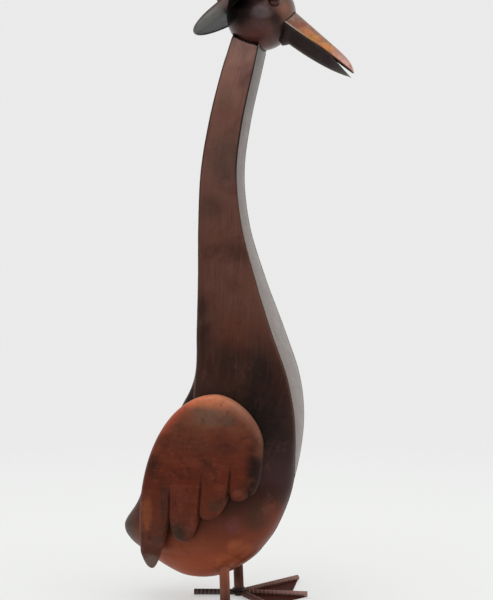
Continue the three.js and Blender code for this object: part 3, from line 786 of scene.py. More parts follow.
breast_grid, back_grid = strip_grid(FRONT_EDGE, 1), strip_grid(REAR_EDGE, -1)
breast = sheet("breast_strip_skin", breast_grid, iron["strip"])
back = sheet("back_strip_skin", back_grid, iron["body"])
print("strips end", [round(strip_end(e), 3) for e in (FRONT_EDGE, REAR_EDGE)], "of the way down")

# %% [markdown]
# ## Pieces that are turned
# The head is a ball pressed from two halves, and the eyes are round studs. The crown of the hat
# is spun over a wooden form. Each is a profile that turns about an axis, so one helper sweeps a
# list of radius and height round and closes the poles.


# %% Turned pieces
def circle(radius, height, count):
    """Points of a level circle about the Z axis."""
    angle = np.linspace(0, 2 * np.pi, count, endpoint=False)
    return np.stack([radius * np.cos(angle), radius * np.sin(angle), 0 * angle + height], -1)


def turn_to(axis):
    """The matrix that turns the Z axis to another one."""
    return np.array(Vector((0, 0, 1)).rotation_difference(Vector(axis).normalized()).to_matrix())


def turned(name, profile, centre, axis, material, around=96, from_edge=None):
    """A closed ring of profile points (radius, height) turned about an axis through centre."""
    local = np.concatenate([circle(radius, height, around) for radius, height in profile])
    points = local @ turn_to(axis).T + centre
    number = np.arange(len(profile) * around).reshape(len(profile), around)
    here, after = number, np.roll(number, -1, 0)
    quads = np.stack([here, np.roll(here, -1, 1), np.roll(after, -1, 1), after], -1).reshape(-1, 4)
    mesh = bpy.data.meshes.new(name)
    mesh.from_pydata(points.tolist(), [], quads.tolist())
    mark_edge(mesh, np.repeat(np.ones(len(profile)) if from_edge is None else from_edge, around))
    tidy_mesh(mesh)
    return put(name, mesh, material)


def arc(radius, start, end, count):
    """Profile points on a circle about the axis; angles from the axis's far end, in radians."""
    angle = np.linspace(start, end, count)
    points = np.stack([radius * np.sin(angle), -radius * np.cos(angle)], -1)
    points[np.abs(points[:, 0]) < 1e-9, 0] = 0
    return points


OPENING_RADIUS = 11 * MM  # of the vent in the ball, inside the neck
opening = math.asin(OPENING_RADIUS / BALL_RADIUS)
ball_profile = np.vstack([arc(BALL_RADIUS, opening, np.pi, 64),
                          arc(BALL_RADIUS - SHEET, np.pi, opening, 64)])
ball = turned("head_ball_skin", ball_profile, BALL, BALL - NECK_TOP, iron["ball"])

EYE_DIRECTION = np.array([28, 38.6, 8.7]) / np.linalg.norm([28, 38.6, 8.7])
EYE_RADIUS = 9 * MM
meet = math.acos(EYE_RADIUS / (2 * BALL_RADIUS))  # the angle where a stud meets the ball
stud = np.vstack([[0, -EYE_RADIUS * math.cos(meet)], arc(EYE_RADIUS, meet, math.pi, 18)])
eyes = {}
for label in SIDES:
    direction = sided(EYE_DIRECTION, label)
    eyes[label] = turned(f"eye_{label}_skin", stud, BALL + direction * BALL_RADIUS, direction,
                         iron["eye"], 48)
print("ball and eyes:", len(ball.data.polygons), "and", len(eyes["left"].data.polygons), "faces")

# %% [markdown]
# ## Trees of geometry nodes
# What follows a path or repeats along it is made by geometry nodes: the weld beads, the rolled
# rim, round bar and ribbed bar, and the two sheets of the bill, whose shape follows a rule. Each
# tree gets named inputs. It runs on a carrier for each piece, and only the finished mesh is kept.


# %% Tree helpers
def new_tree(name, **inputs):
    """Starts a tree with named inputs, and gives those inputs as wires."""
    tree = bpy.data.node_groups.new(name, "GeometryNodeTree")
    kinds = {float: "NodeSocketFloat", int: "NodeSocketInt", type(None): "NodeSocketMaterial"}
    tree.interface.new_socket("Geometry", in_out="INPUT", socket_type="NodeSocketGeometry")
    for label, default in inputs.items():
        socket = tree.interface.new_socket(label, in_out="INPUT", socket_type=kinds[type(default)])
        if default is not None:
            socket.default_value = default
    tree.interface.new_socket("Geometry", in_out="OUTPUT", socket_type="NodeSocketGeometry")
    start = tree.nodes.new("NodeGroupInput")
    return {s.name: Wire(tree, s) for s in start.outputs if s.name}


def stored(shape, name, value):
    """Keeps a number on every point; the finish looks for from_edge, where 1 is far away."""
    return shape.node("GeometryNodeStoreNamedAttribute", {"data_type": "FLOAT", "domain": "POINT"},
                      {0: shape, "Name": name, "Value": value})


def end_tree(shape, material):
    """Ends a tree the way that the export needs, and gives the tree."""
    smooth = shape.node("GeometryNodeSetShadeSmooth", None, {0: shape})
    real = smooth.node("GeometryNodeRealizeInstances", None, {0: smooth})
    dressed = real.node("GeometryNodeSetMaterial", None, {0: real, "Material": material})
    end = shape.tree.nodes.new("NodeGroupOutput")
    shape.tree.links.new(dressed.socket, end.inputs[0])
    return shape.tree


def grown(name, tree, lines, material, **values):
    """Runs a tree on one or more lines of points and keeps the plain mesh that comes out."""
    points, edges = [], []
    for line, closed in lines:
        first = len(points)
        points += [tuple(p) for p in line]
        edges += [(i, i + 1) for i in range(first, len(points) - 1)]
        if closed:
            edges.append((len(points) - 1, first))
    source = bpy.data.meshes.new(name + "_path")
    source.from_pydata(points, edges, [])
    carrier = bpy.data.objects.new(name + "_carrier", source)
    bpy.context.scene.collection.objects.link(carrier)
    modifier = carrier.modifiers.new("shape", "NODES")
    modifier.node_group = tree
    values["Material"] = material
    for item in tree.interface.items_tree:
        if item.in_out == "INPUT" and item.name in values:
            modifier[item.identifier] = values[item.name]
    ready = carrier.evaluated_get(bpy.context.evaluated_depsgraph_get())
    mesh = bpy.data.meshes.new_from_object(ready)
    bpy.data.objects.remove(carrier)
    tidy_mesh(mesh)
    return put(name, mesh, material)


print("tree helpers ready")

# %% [markdown]
# ## Round bar and the rolled rim
# A leg is a plain length of round bar, and the rim of the hat is the sheet's own edge rolled
# over a wire. Both are a circle swept along a line.


# %% Tree: round bar
def round_bar_tree():
    given = new_tree("round_bar", Radius=0.006, Sides=24, Step=0.004, Material=None)
    line = given["Geometry"].node("GeometryNodeMeshToCurve", None, {0: given["Geometry"]})
    line = line.node("GeometryNodeResampleCurve", {"mode": "LENGTH"},
                     {0: line, "Length": given["Step"]})
    ring = line.node("GeometryNodeCurvePrimitiveCircle", None,
                     {"Resolution": given["Sides"], "Radius": given["Radius"]})
    bar = line.node("GeometryNodeCurveToMesh", None, {0: line, 1: ring, "Fill Caps": True})
    return end_tree(stored(bar, "from_edge", 1.0), given["Material"])


round_bar = round_bar_tree()
print("round bar:", len(round_bar.nodes), "nodes")

# %% [markdown]
# ## Ribbed bar
# Reinforcing bar is rolled hot with slanting ribs every few millimetres and a ridge along both
# sides. One rib is made on a circle: it leans over, and it sinks into the bar beside the ridges.
# It is then set on the bar again and again at the same pitch.


# %% Tree: ribbed bar
def ribbed_bar_tree():
    given = new_tree("ribbed_bar", Radius=0.0038, Pitch=0.0057, Rib=0.0007, Lean=0.35,
                     Material=None)
    line = given["Geometry"].node("GeometryNodeMeshToCurve", None, {0: given["Geometry"]})
    fine = line.node("GeometryNodeResampleCurve", {"mode": "LENGTH"}, {0: line, "Length": 0.002})
    ring = line.node("GeometryNodeCurvePrimitiveCircle", None,
                     {"Resolution": 24, "Radius": given["Radius"]})
    place = line.node("GeometryNodeInputPosition")
    x, y, _ = split(place)
    beside = x.size() / given["Radius"]
    ridge = 1 + (1 - beside * 3).at_least(0) * 0.12
    stretch = place.node("ShaderNodeVectorMath", {"operation": "SCALE"},
                         {0: place, "Scale": ridge})
    ridged = ring.node("GeometryNodeSetPosition", None, {0: ring, "Position": stretch})
    core = line.node("GeometryNodeCurveToMesh", None, {0: fine, 1: ridged, "Fill Caps": True})

    slant = place.node("ShaderNodeCombineXYZ", None, {0: x, 1: y, 2: x.size() * given["Lean"]})
    leaning = ring.node("GeometryNodeSetPosition", None, {0: ring, "Position": slant})
    wire = line.node("GeometryNodeCurvePrimitiveCircle", None,
                     {"Resolution": 5, "Radius": given["Rib"]})
    rib = line.node("GeometryNodeCurveToMesh", None,
                    {0: leaning, 1: wire, "Scale": beside ** 0.4 + 0.05})
    rib = stored(rib, "from_edge", 0.0)

    places = line.node("GeometryNodeCurveToPoints", {"mode": "LENGTH"},
                       {0: line, "Length": given["Pitch"]})
    index = line.node("GeometryNodeInputIndex")
    count = line.node("GeometryNodeAttributeDomainSize", {"component": "POINTCLOUD"}, {0: places})
    not_ends = [line.node("FunctionNodeCompare", {"data_type": "INT", "operation": operation},
                          {2: index, 3: limit})
                for operation, limit in (("GREATER_THAN", 0), ("LESS_THAN", count - 1))]
    inner = line.node("FunctionNodeBooleanMath", {"operation": "AND"}, dict(enumerate(not_ends)))
    ribs = line.node("GeometryNodeInstanceOnPoints", None, {
        0: places, "Selection": inner, "Instance": rib, "Rotation": places.out("Rotation")})
    both = line.node("GeometryNodeJoinGeometry", None, {0: [stored(core, "from_edge", 1.0), ribs]})
    return end_tree(both, given["Material"])


ribbed_bar = ribbed_bar_tree()
print("ribbed bar:", len(ribbed_bar.nodes), "nodes")

# %% [markdown]
# ## Weld beads
# A weld is a row of small pools that froze one over the next. So the bead is a round section
# swept along the seam, swollen once for each pool, with some unevenness between them. It fades
# out at an open end.


# %% Tree: weld bead
def weld_tree():
    given = new_tree("weld_bead", Radius=0.001, Pool=0.004, Swell=0.3, Uneven=0.5, Fade=1.0,
                     Material=None)
    line = given["Geometry"].node("GeometryNodeMeshToCurve", None, {0: given["Geometry"]})
    line = line.node("GeometryNodeResampleCurve", {"mode": "LENGTH"},
                     {0: line, "Length": given["Pool"] / 5})
    passed = line.node("GeometryNodeSplineParameter", output="Length")
    share = passed.out("Factor")
    pool = line.math("FRACT", passed / given["Pool"])
    place = line.node("GeometryNodeInputPosition")
    noise = line.node("ShaderNodeTexNoise", None, {"Vector": place, "Scale": 130, "Detail": 2})
    ends = 1 - given["Fade"] * (1 - (share * (1 - share) * 4).at_least(0) ** 0.15)
    thick = (1 + given["Swell"] * (0.5 - pool) + given["Uneven"] * (noise - 0.5)) * ends
    ring = line.node("GeometryNodeCurvePrimitiveCircle", None,
                     {"Resolution": 7, "Radius": given["Radius"]})
    bead = line.node("GeometryNodeCurveToMesh", None, {
        0: line, 1: ring, "Scale": thick.at_least(0.02), "Fill Caps": True})
    return end_tree(stored(bead, "from_edge", 1.0), given["Material"])


weld_bead = weld_tree()
print("weld bead:", len(weld_bead.nodes), "nodes")

# %% [markdown]
# ## The bill
# The bill is two curved sheets, one nested under the other, on an axis that slopes down from the
# middle of the ball. Its rule is simple: the half width, the height of the side edge and the
# height of the middle line are each blended from the root to the tip, and the section between
# them is a rounded hump. The lower sheet parts from the upper one near the tip, and flares down
# in a small lug where it meets the ball. The first row of points is pushed out to the ball's
# skin. A grid is laid out flat and every point is then moved by the rule.

# %% Tree: one sheet of the bill
PARTING_START, PARTING_LENGTH = 0.119, 0.038  # along the axis, as all these distances are
EDGE_START, EDGE_END = 0.041, 0.115  # between these the height of the side edge changes
LUG_PLACE, LUG_HALF = 0.05, 0.0065


def between(low, high, share):
    return low + (high - low) * share


def bill_tree():
    given = new_tree(
        "bill_sheet", Root=0.041, Tip=0.157, End=0.156, Reach=0.0488, Half=0.024, TipHalf=0.014,
        Edge=0.0109, FarEdge=0.0133, Drop=0.0, Ridge=0.0312, TipRidge=0.0232, Bend=1.0,
        Round=1.6, Lug=0.0, Sheet=0.0012, Material=None)
    grid = given["Geometry"].node("GeometryNodeMeshGrid", None, {
        "Size X": 1.0, "Size Y": 2.0, "Vertices X": 70, "Vertices Y": 33})
    flat = grid.node("GeometryNodeInputPosition")
    u, v, _ = split(flat)
    side = flat.math("SINE", v * (math.pi / 2))
    hump = 1 - (side.size() ** given["Round"])
    row = u + 0.5
    root_height = between(given["Edge"], given["Ridge"], hump)
    start = flat.math("SQRT", given["Reach"] ** 2 - root_height ** 2 - (given["Half"] * side) ** 2)
    distance = between(start, given["End"], row * (1.5 - row * 0.5))

    taper = ((distance - given["Root"]) / (given["Tip"] - given["Root"])).at_least(0)
    parting = ((distance - PARTING_START) / PARTING_LENGTH).at_least(0)
    half = between(given["Half"], given["TipHalf"], taper) * flat.math("SQRT", 1 - taper ** 9)
    edge = (between(given["Edge"], given["FarEdge"], distance.ease(EDGE_START, EDGE_END))
            - given["Drop"] * parting)
    lug = given["Lug"] * (1 - (distance - LUG_PLACE).size() / LUG_HALF).at_least(0)
    ridge = between(given["Ridge"], given["TipRidge"], taper ** given["Bend"])
    rise = (ridge - edge) * (1 - taper ** 12) - lug
    height = edge + rise * hump
    px = BALL[0] + distance * BILL_ALONG[0] + height * BILL_UP[0]
    pz = BALL[2] + distance * BILL_ALONG[2] + height * BILL_UP[2]
    place = flat.node("ShaderNodeCombineXYZ", None, {0: px, 1: half * side, 2: pz})
    grid = stored(grid, "from_edge", (1 - side.size()) * half * 1.2)
    grid = stored(grid, "thickness", given["Sheet"].at_most(rise.size() / 3).at_most(half / 5))
    skin = grid.node("GeometryNodeSetPosition", None, {0: grid, "Position": place})

    thin = skin.node("GeometryNodeInputNamedAttribute", {"data_type": "FLOAT"}, {"Name": "thickness"})
    inner = skin.node("GeometryNodeExtrudeMesh", None, {
        0: skin, "Offset Scale": thin * -1, "Individual": False})
    outer = skin.node("GeometryNodeFlipFaces", None, {0: skin})
    shell = skin.node("GeometryNodeJoinGeometry", None, {0: [outer, inner]})
    closed = skin.node("GeometryNodeMergeByDistance", None, {0: shell, "Distance": 1e-6})
    return end_tree(closed, given["Material"])


bill_sheet = bill_tree()
bill_upper = grown("bill_upper_skin", bill_sheet, [], iron["bill"])
bill_lower = grown("bill_lower_skin", bill_sheet, [], iron["lower_bill"], Tip=0.1593, End=0.1583,
                   Half=0.023, TipHalf=0.0134, Edge=0.0106, FarEdge=0.013, Drop=0.0066,
                   Ridge=-0.0076, TipRidge=0.0058, Bend=2.2, Round=2.0, Lug=0.008)
print("bill:", len(bill_upper.data.polygons), "and", len(bill_lower.data.polygons), "faces")

# %% [markdown]
# ## Hat
# The brim is a flat disc with a hole that drops over the ball, tilted back and a little to the
# bird's right, with its edge rolled over a wire. The crown is a spun cap that stands on the
# brim. From above the hat is as brown as the rest. Its underside is painted grey, a painted
# reflection of the room, with a painted shadow beside the ball.

# %% Brim and crown
TILT_BACK, TILT_SIDE = math.radians(28.8), math.radians(8.9)
HAT_AXIS = np.array([-math.sin(TILT_BACK) * math.cos(TILT_SIDE), -math.sin(TILT_SIDE),
                     math.cos(TILT_BACK) * math.cos(TILT_SIDE)])
BRIM_HEIGHT, BRIM_RADIUS, BRIM_BEAD = 27.4 * MM, 93.6 * MM, 1.8 * MM
brim_centre = BALL + HAT_AXIS * BRIM_HEIGHT
brim_hole = math.sqrt(BALL_RADIUS ** 2 - (BRIM_HEIGHT - SHEET / 2) ** 2) + GAP


def hat_ring(radius, height):
    """Points of a circle about the hat's axis, at a height above the brim's middle plane."""
    return circle(radius, height, 144) @ turn_to(HAT_AXIS).T + brim_centre


def hat_tones(x, y, z):
    """Brown above. Below, a painted grey reflection of the room, paler towards the bird's right and pinker
    towards the front, and black beside the ball, a painted shadow.
    """
    above = ((x - brim_centre[0]) * HAT_AXIS[0] + (y - brim_centre[1]) * HAT_AXIS[1]
             + (z - brim_centre[2]) * HAT_AXIS[2])
    # The underside's grey is a painted reflection of the room, paler towards the bird's right.
    below = ramp((y + 90 * MM) / (130 * MM), (0.1, "847e7a"), (0.3, "5c5c55"), (0.46, "454440"),
                 (0.62, "282725"), (0.85, "141312"))
    below = blend(below, tone("8c6a66"), x.ease(-6 * MM, 8 * MM) * 0.6)
    # A painted shadow on the underside beside the ball.
    painted_shadow_by_ball = (z.ease(823.6 * MM, 825.4 * MM) * y.ease(10 * MM, -20 * MM)
               * x.ease(50 * MM, 30 * MM))
    below = blend(below, tone("0a0b08"), painted_shadow_by_ball)
    brown = ramp(clouds(at_object(x), 40, 3, 19), (0.35, "3a2a26"), (0.5, "553c33"),
                 (0.65, "6a4c40"))
    return blend(below, brown, above.ease(-0.4 * MM, 0.5 * MM))


iron["hat"] = browned_iron("hat_patina", hat_tones, "262523", "5a504a", brush=(20, 20, 20),
                           patch=0.3, streak=0.1, metal=0.3, rough=0.5, rub=0.1, coat=0,
                           shine=0.15, seed=18)
radii = np.linspace(brim_hole, BRIM_RADIUS - BRIM_BEAD, 30)
plate = np.vstack([np.stack([radii, 0 * radii - SHEET / 2], -1),
                   np.stack([radii[::-1], 0 * radii + SHEET / 2], -1)])
near_rim = BRIM_RADIUS - plate[:, 0]
brim = turned("hat_brim_plate", plate, brim_centre, HAT_AXIS, iron["hat"], 144, near_rim)
rolled_rim = grown("hat_rolled_rim", round_bar, [(hat_ring(BRIM_RADIUS - BRIM_BEAD, 0), True)],
                   iron["hat"], Radius=BRIM_BEAD, Sides=14)

CROWN_RADIUS, CROWN_TOP_RADIUS, CROWN_WALL, CROWN_HEIGHT = 47 * MM, 41 * MM, 34 * MM, 50 * MM


def crown_skin(inset):
    """Half a section of the crown: the leaning wall, then the rounded top as far as the axis."""
    bend = np.linspace(0, np.pi / 2, 28)
    radius = (CROWN_TOP_RADIUS - inset) * np.cos(bend).clip(0) ** 0.6
    radius[-1] = 0
    rise = CROWN_WALL + (CROWN_HEIGHT - CROWN_WALL - inset) * np.sin(bend)
    wall = np.stack([np.linspace(CROWN_RADIUS - inset, CROWN_TOP_RADIUS - inset, 12),
                     np.linspace(0, CROWN_WALL, 12)], -1)
    return np.vstack([wall[:-1], np.stack([radius, rise], -1)])


crown_profile = np.vstack([crown_skin(0), crown_skin(SHEET)[::-1]])
crown = turned("hat_crown_skin", crown_profile, brim_centre + HAT_AXIS * (SHEET / 2 + GAP),
               HAT_AXIS, iron["hat"])
print("hat:", len(brim.data.polygons), "and", len(crown.data.polygons), "faces")

# %% [markdown]
# ## Wings
# A wing is one oval sheet, pressed over a form that has the shape of folded feathers: four tips
# along the bottom, and a groove that runs up from each notch between them. The whole edge turns
# in towards the body. The outline comes first, then every point gets its depth: the form is part
# of an ellipsoid, the grooves are cut into it, and the edge is rolled by the true distance to
# the outline.

# %% Outline of a wing
# In millimetres, as forward and up. From each tip the outline rises to the notch behind it and
# to the one in front of it, and the power says how suddenly.
FEATHERS = [-118, -71.5, -28, 13.5, 40, 59.5]  # the rear end, the notches and the front end
TIPS = [[-100, 53], [-52, 95], [-17, 127], [25, 153.5]]
TIP_RISE = [[22, 67], [18, 34], [5, 30], [8, 7]]
TIP_POWER = [[2.4, 1.6], [2.4, 2.8], [2.4, 2.4], [2.4, 2.4]]
WING_TOP = (-6, 296)
SHOULDER = [110, 229]  # the height of the rear end and of the front end
TOP_CURVE = [2.05, 1.7]
ROLL = 8  # how far from the outline the edge begins to turn in
COLUMN_STEP = 1.3


def super_curve(share, power):
    """A rounded corner: 1 where the share is 0, and 0 where it is 1."""
    return (1 - min(max(share, 0), 1) ** power) ** (1 / power)


def wing_top_edge(x):
    behind = x < WING_TOP[0]
    end, shoulder, power = ((FEATHERS[0], SHOULDER[0], TOP_CURVE[0]) if behind
                            else (FEATHERS[-1], SHOULDER[1], TOP_CURVE[1]))
    share = (x - WING_TOP[0]) / (end - WING_TOP[0])
    return shoulder + (WING_TOP[1] - shoulder) * super_curve(share, power)


def feather_end(feather, x):
    """The height of one feather's lower edge."""
    tip_x, tip_z = TIPS[feather]
    way = 0 if x < tip_x else 1
    groove = FEATHERS[feather + way]
    share = min((x - tip_x) / (groove - tip_x), 1)
    return tip_z + TIP_RISE[feather][way] * share ** TIP_POWER[feather][way]


def wing_bottom_edge(x):
    if x >= FEATHERS[4]:
        foot = feather_end(3, FEATHERS[4])
        share = (x - FEATHERS[4]) / (FEATHERS[5] - FEATHERS[4])
        return foot + (SHOULDER[1] - foot) * (1 - super_curve(share, 2.2))
    feather = max(i for i in range(4) if x >= FEATHERS[i] - 1e-6)
    end = feather_end(feather, x)
    on_groove = feather > 0 and abs(x - FEATHERS[feather]) < 1e-6
    return max(end, feather_end(feather - 1, x)) if on_groove else end


def from_outline(points, outline):
    """True distance of points in a plane to a closed outline of straight pieces."""
    start, run = outline, np.roll(outline, -1, 0) - outline
    square = np.maximum((run ** 2).sum(1), 1e-12)
    best = np.full(len(points), np.inf)
    for p, r, s in zip(start, run, square):
        t = np.clip(((points - p) @ r) / s, 0, 1)
        best = np.minimum(best, np.linalg.norm(points - p - t[:, None] * r, axis=1))
    return best


near = np.array([0, 0.03, 0.12, 0.3, 0.6, 1, 1.5, 2.1, 2.9, 3.9, 5])  # steps from the outline
inside = [np.arange(a, b, COLUMN_STEP) for a, b in zip(FEATHERS, FEATHERS[1:])]
wing_x = np.unique(np.concatenate([FEATHERS[0] + near, *inside, FEATHERS, FEATHERS[-1] - near]))
wing_x = wing_x[np.insert(np.diff(wing_x) > 0.02, 0, True)]
top_z = np.array([wing_top_edge(x) for x in wing_x])
bottom_z = np.array([wing_bottom_edge(x) for x in wing_x])
print("wing outline:", len(wing_x), "columns")

# %% [markdown]
# The grooves lean forward as they go up, and fade out under the smooth top of the wing. Each is
# a narrow crease in a wide, shallow hollow, which leaves the feathers between them rounded.

# %% Depth of the pressed feathers
FORM_CENTRE, FORM_RADII = (-25, 170), (170, 74.5, 260)
GROOVE_FADE = 30
CREASE_DEPTH, CREASE_WIDTH = 2.6, 2
HOLLOW_DEPTH, HOLLOW_WIDTH = 1.3, 7.5


def form_depth(x, z):
    """How far the form stands out from the bird's middle plane."""
    return FORM_RADII[1] * np.sqrt(1 - ((x - FORM_CENTRE[0]) / FORM_RADII[0]) ** 2
                                   - ((z - FORM_CENTRE[1]) / FORM_RADII[2]) ** 2)


def wing_grid(rows=96):
    height = top_z - bottom_z
    fit = np.minimum(height / (4 * ROLL), 1)
    edge_drops = np.concatenate([near, [6.3, ROLL]])
    inner = np.linspace(0, 1, rows)[1:-1]
    top = edge_drops[:, None] * fit
    middle = ROLL * fit + (height - 2 * ROLL * fit) * inner[:, None]
    drop = np.vstack([top, middle, height - top[::-1]])
    z = top_z - drop
    x = np.broadcast_to(wing_x, z.shape)
    outline = np.vstack([np.stack([wing_x, top_z], 1), np.stack([wing_x, bottom_z], 1)[::-1]])
    away = from_outline(np.stack([x.ravel(), z.ravel()], 1), outline).reshape(x.shape)
    away[drop == 0] = 0
    groove = np.zeros(x.shape)
    for low_x, low_z, lean, end in GROOVES:
        off = x - (low_x + lean * (z - low_z))
        t = np.clip((end - z) / GROOVE_FADE, 0, 1)
        crease = CREASE_DEPTH * np.exp(-(off / CREASE_WIDTH) ** 2)
        hollow = HOLLOW_DEPTH * np.exp(-(off / HOLLOW_WIDTH) ** 2)
        groove = np.maximum(groove, t * t * (3 - 2 * t) * (crease + hollow))
    turn_in = ROLL - np.sqrt(ROLL ** 2 - np.clip(ROLL - away, 0, ROLL) ** 2)
    return np.stack([x, form_depth(x, z) - groove - turn_in, z], -1) * MM, away * MM


wing_skin, wing_edge = wing_grid()
wing_left = sheet("wing_left_skin", wing_skin[:, ::-1], iron["wing"], wing_edge[:, ::-1])
wing_right = sheet("wing_right_skin", sided(wing_skin, "right"), iron["wing"], wing_edge)
print("wing:", len(wing_left.data.polygons), "faces")

# %% [markdown]
# ## Legs and wing stays
# A leg is a length of 14 mm round bar that runs up into the belly, and a short bar behind each
# wing holds it off the body. A ray sent along the bar finds where it meets the skin, so the bar
# ends just inside the sheet and its weld lies round it.

# %% Bars that end in the body
LEG_TOP, ANKLE, LEG_RADIUS = np.array([-3.4, 33.5, 110]) * MM, np.array([0.6, 36, 0]) * MM, 7 * MM
CAP_ROOM = 0.004  # share of the leg that its slanting end cap needs above the floor
STAY_START, STAY_RADIUS = np.array([-8, 40, 206]) * MM, 5 * MM
STAY_SHORT = 1.6  # how far short of the wing's form a stay ends, in millimetres
skin_trees = {label: BVHTree.FromPolygons([v.co for v in piece.data.vertices],
                                          [p.vertices for p in piece.data.polygons])
              for label, piece in (("left", body_left), ("right", body_right))}


def skin_hit(label, start, direction):
    return np.array(skin_trees[label].ray_cast(Vector(start), Vector(direction).normalized())[0])


def leg_ring(label, radius):
    """Where a tube about the leg meets the belly, as a ring of points."""
    start = sided(ANKLE, label)
    run = sided(LEG_TOP, label) - start
    return np.array([skin_hit(label, p, run) for p in circle(radius, 0, 40) @ turn_to(run).T + start])


legs, stays = {}, {}
for label, side in SIDES.items():
    foot = sided(ANKLE, label)
    into = sided(LEG_TOP, label) - foot
    reach = leg_ring(label, LEG_RADIUS)[:, 2].max() + 2 * MM
    line = [foot + into * CAP_ROOM, foot + into * reach / into[2]]
    legs[label] = grown(f"leg_{label}_bar", round_bar, [(line, False)], iron["bar"],
                        Radius=LEG_RADIUS, Sides=32)
    hit = skin_hit(label, sided(STAY_START, label), (0, side, 0))
    wing_y = side * (form_depth(*STAY_START[[0, 2]] / MM) - STAY_SHORT) * MM
    line = [hit - [0, side * MM, 0], [hit[0], wing_y, hit[2]]]
    stays[label] = grown(f"wing_stay_{label}_bar", round_bar, [(line, False)], iron["bar"],
                         Radius=STAY_RADIUS)
print("legs reach", round(reach * 1000), "mm up")

# %% [markdown]
# ## Feet
# Each foot has four toes of ribbed bar, welded together at the ankle, and two webs of sheet
# between the three front ones, at the underside of the bars. The right foot is turned further
# out, so that it clears the other one's inner toe. Toes are in millimetres and degrees, with
# angles from straight ahead towards the foot's outer side.

# %% Toes and webs
TOE_LENGTHS = {"outer": 118, "middle": 98, "inner": 72, "rear": 65}
TOE_ANGLES = {"left": {"outer": 57, "middle": 7.5, "inner": -44, "rear": 194},
              "right": {"outer": 79, "middle": 34, "inner": -12, "rear": 174}}
TOE_STARTS = {"outer": 10.5, "middle": 7.8, "inner": 10.5, "rear": 7.8}
TOE_HEIGHT = 4.5 * MM
# Each web lies between two toes, as far along each as a share of its length
WEBS = {"outer": ("outer", "middle", 0.97, 0.75), "inner": ("middle", "inner", 0.97, 0.95)}
WEB_TOP, WEB_START, WEB_ASIDE, WEB_SAG = 2.2 * MM, 11.5 * MM, 3.2 * MM, 0.7 * MM


def toe_direction(label, toe):
    angle = math.radians(TOE_ANGLES[label][toe])
    return np.array([math.cos(angle), SIDES[label] * math.sin(angle), 0])


def web_grid(label, first, second, first_share, second_share, rows=28, columns=24):
    """A sheet between two toes, from the ankle to its front edge."""
    a, b = toe_direction(label, first), toe_direction(label, second)
    toward = np.sign(np.cross(a, b)[2])
    s = np.linspace(0, 1, rows)[:, None, None]
    t = np.linspace(0, 1, columns)[None, :, None]

    def beside(direction, toe, share, facing):
        length = TOE_LENGTHS[toe] * MM * share
        aside = np.cross([0, 0, 1], direction) * facing * WEB_ASIDE
        return direction * (WEB_START + (length - WEB_START) * s) + aside

    a_line = beside(a, first, first_share, toward)
    b_line = beside(b, second, second_share, -toward)
    grid = a_line + (b_line - a_line) * t + sided(ANKLE, label)
    sag = WEB_SAG * np.sin(np.pi * t[..., 0]) * np.sin(np.pi * s[..., 0] * 0.8)
    grid[..., 2] = WEB_TOP - sag
    return grid if toward > 0 else grid[:, ::-1]


toes, webs = {}, {}
for label in SIDES:
    ankle = sided(ANKLE, label) + [0, 0, TOE_HEIGHT]
    for toe, length in TOE_LENGTHS.items():
        way, name = toe_direction(label, toe), f"toe_{toe}_{label}"
        line = [ankle + way * TOE_STARTS[toe] * MM, ankle + way * length * MM]
        toes[name] = grown(name + "_rebar", ribbed_bar, [(line, False)], iron["bar"])
    for web, spec in WEBS.items():
        name = f"web_{web}_{label}"
        webs[name] = sheet(name + "_plate", web_grid(label, *spec), iron["web"])
print("feet:", len(toes), "toes of", len(toes["toe_outer_left"].data.polygons), "faces or fewer")

# %% [markdown]
# ## Welds
# The seams beside both strips are welded from end to end. They stand proud on the bird's right
# and are ground down to a thin line on its left. The keel is welded too, where the side sheets
# meet. Runs on the ball hold the neck and the bill, two rings hold the hat, and fat beads hold
# the legs and toes.


# %% Weld runs
SEAM_START = 0.045  # share of the long edge, just under the ball
SUNK = {"right": 0.1 * MM, "left": 0.7 * MM}  # how far the middle of a seam's bead lies inside


def seam_lines(edge, facing):
    """The seams beside a strip, as far as they are outside the ball."""
    lines = []
    along = np.linspace(SEAM_START, strip_end(edge), 260)
    for label in ("right", "left"):
        line = strip_point(edge, facing, along, 0 * along + 1)
        out = strip_point(edge, facing, along, 0 * along) - line
        out[:, 1] = 0
        out /= np.maximum(np.linalg.norm(out, axis=1, keepdims=True), 1e-9)
        line = line - out * SUNK[label]
        line[:, 0] = np.maximum(line[:, 0], cad_box[0][0] + SHEET)
        line[:, 1] = SIDES[label] * (strip_half(edge, along) + STRIP_GAP + 0.5 * SHEET)
        lines.append(line[np.linalg.norm(line - BALL, axis=1) > BALL_RADIUS + 0.5 * MM])
    return lines


def keel_line():
    """Below both strips, half a millimetre inside the edge that the side sheets share."""
    front = smooth_line(FRONT_EDGE, np.linspace(strip_end(FRONT_EDGE), 1, 70))
    rear = smooth_line(REAR_EDGE, np.linspace(1, strip_end(REAR_EDGE), 70))[1:]
    line = np.vstack([front, rear])
    line[:, 1] = 0
    run = np.gradient(line, axis=0)
    out = np.stack([-run[:, 2], 0 * run[:, 0], run[:, 0]], -1)
    return line - out / np.linalg.norm(out, axis=1, keepdims=True) * 0.5 * MM


def arc_on_ball(row):
    """The top edge of a sheet, moved on to the ball's skin."""
    away = row - BALL
    return BALL + away / np.linalg.norm(away, axis=1, keepdims=True) * BALL_RADIUS


def near_ball(row):
    """The top edge of a side sheet where it passes close under the ball."""
    line = (arc_on_ball(row) + row) / 2
    return line[np.linalg.norm(arc_on_ball(row) - row, axis=1) < 4 * MM]


def bill_root(piece):
    """The row of points where a bill sheet meets the ball, in order round it."""
    points = np.array([v.co[:] for v in piece.data.vertices])
    away = np.linalg.norm(points - BALL, axis=1)
    root = points[away < BALL_RADIUS + 0.6 * MM]
    return root[np.argsort(root[:, 1])]


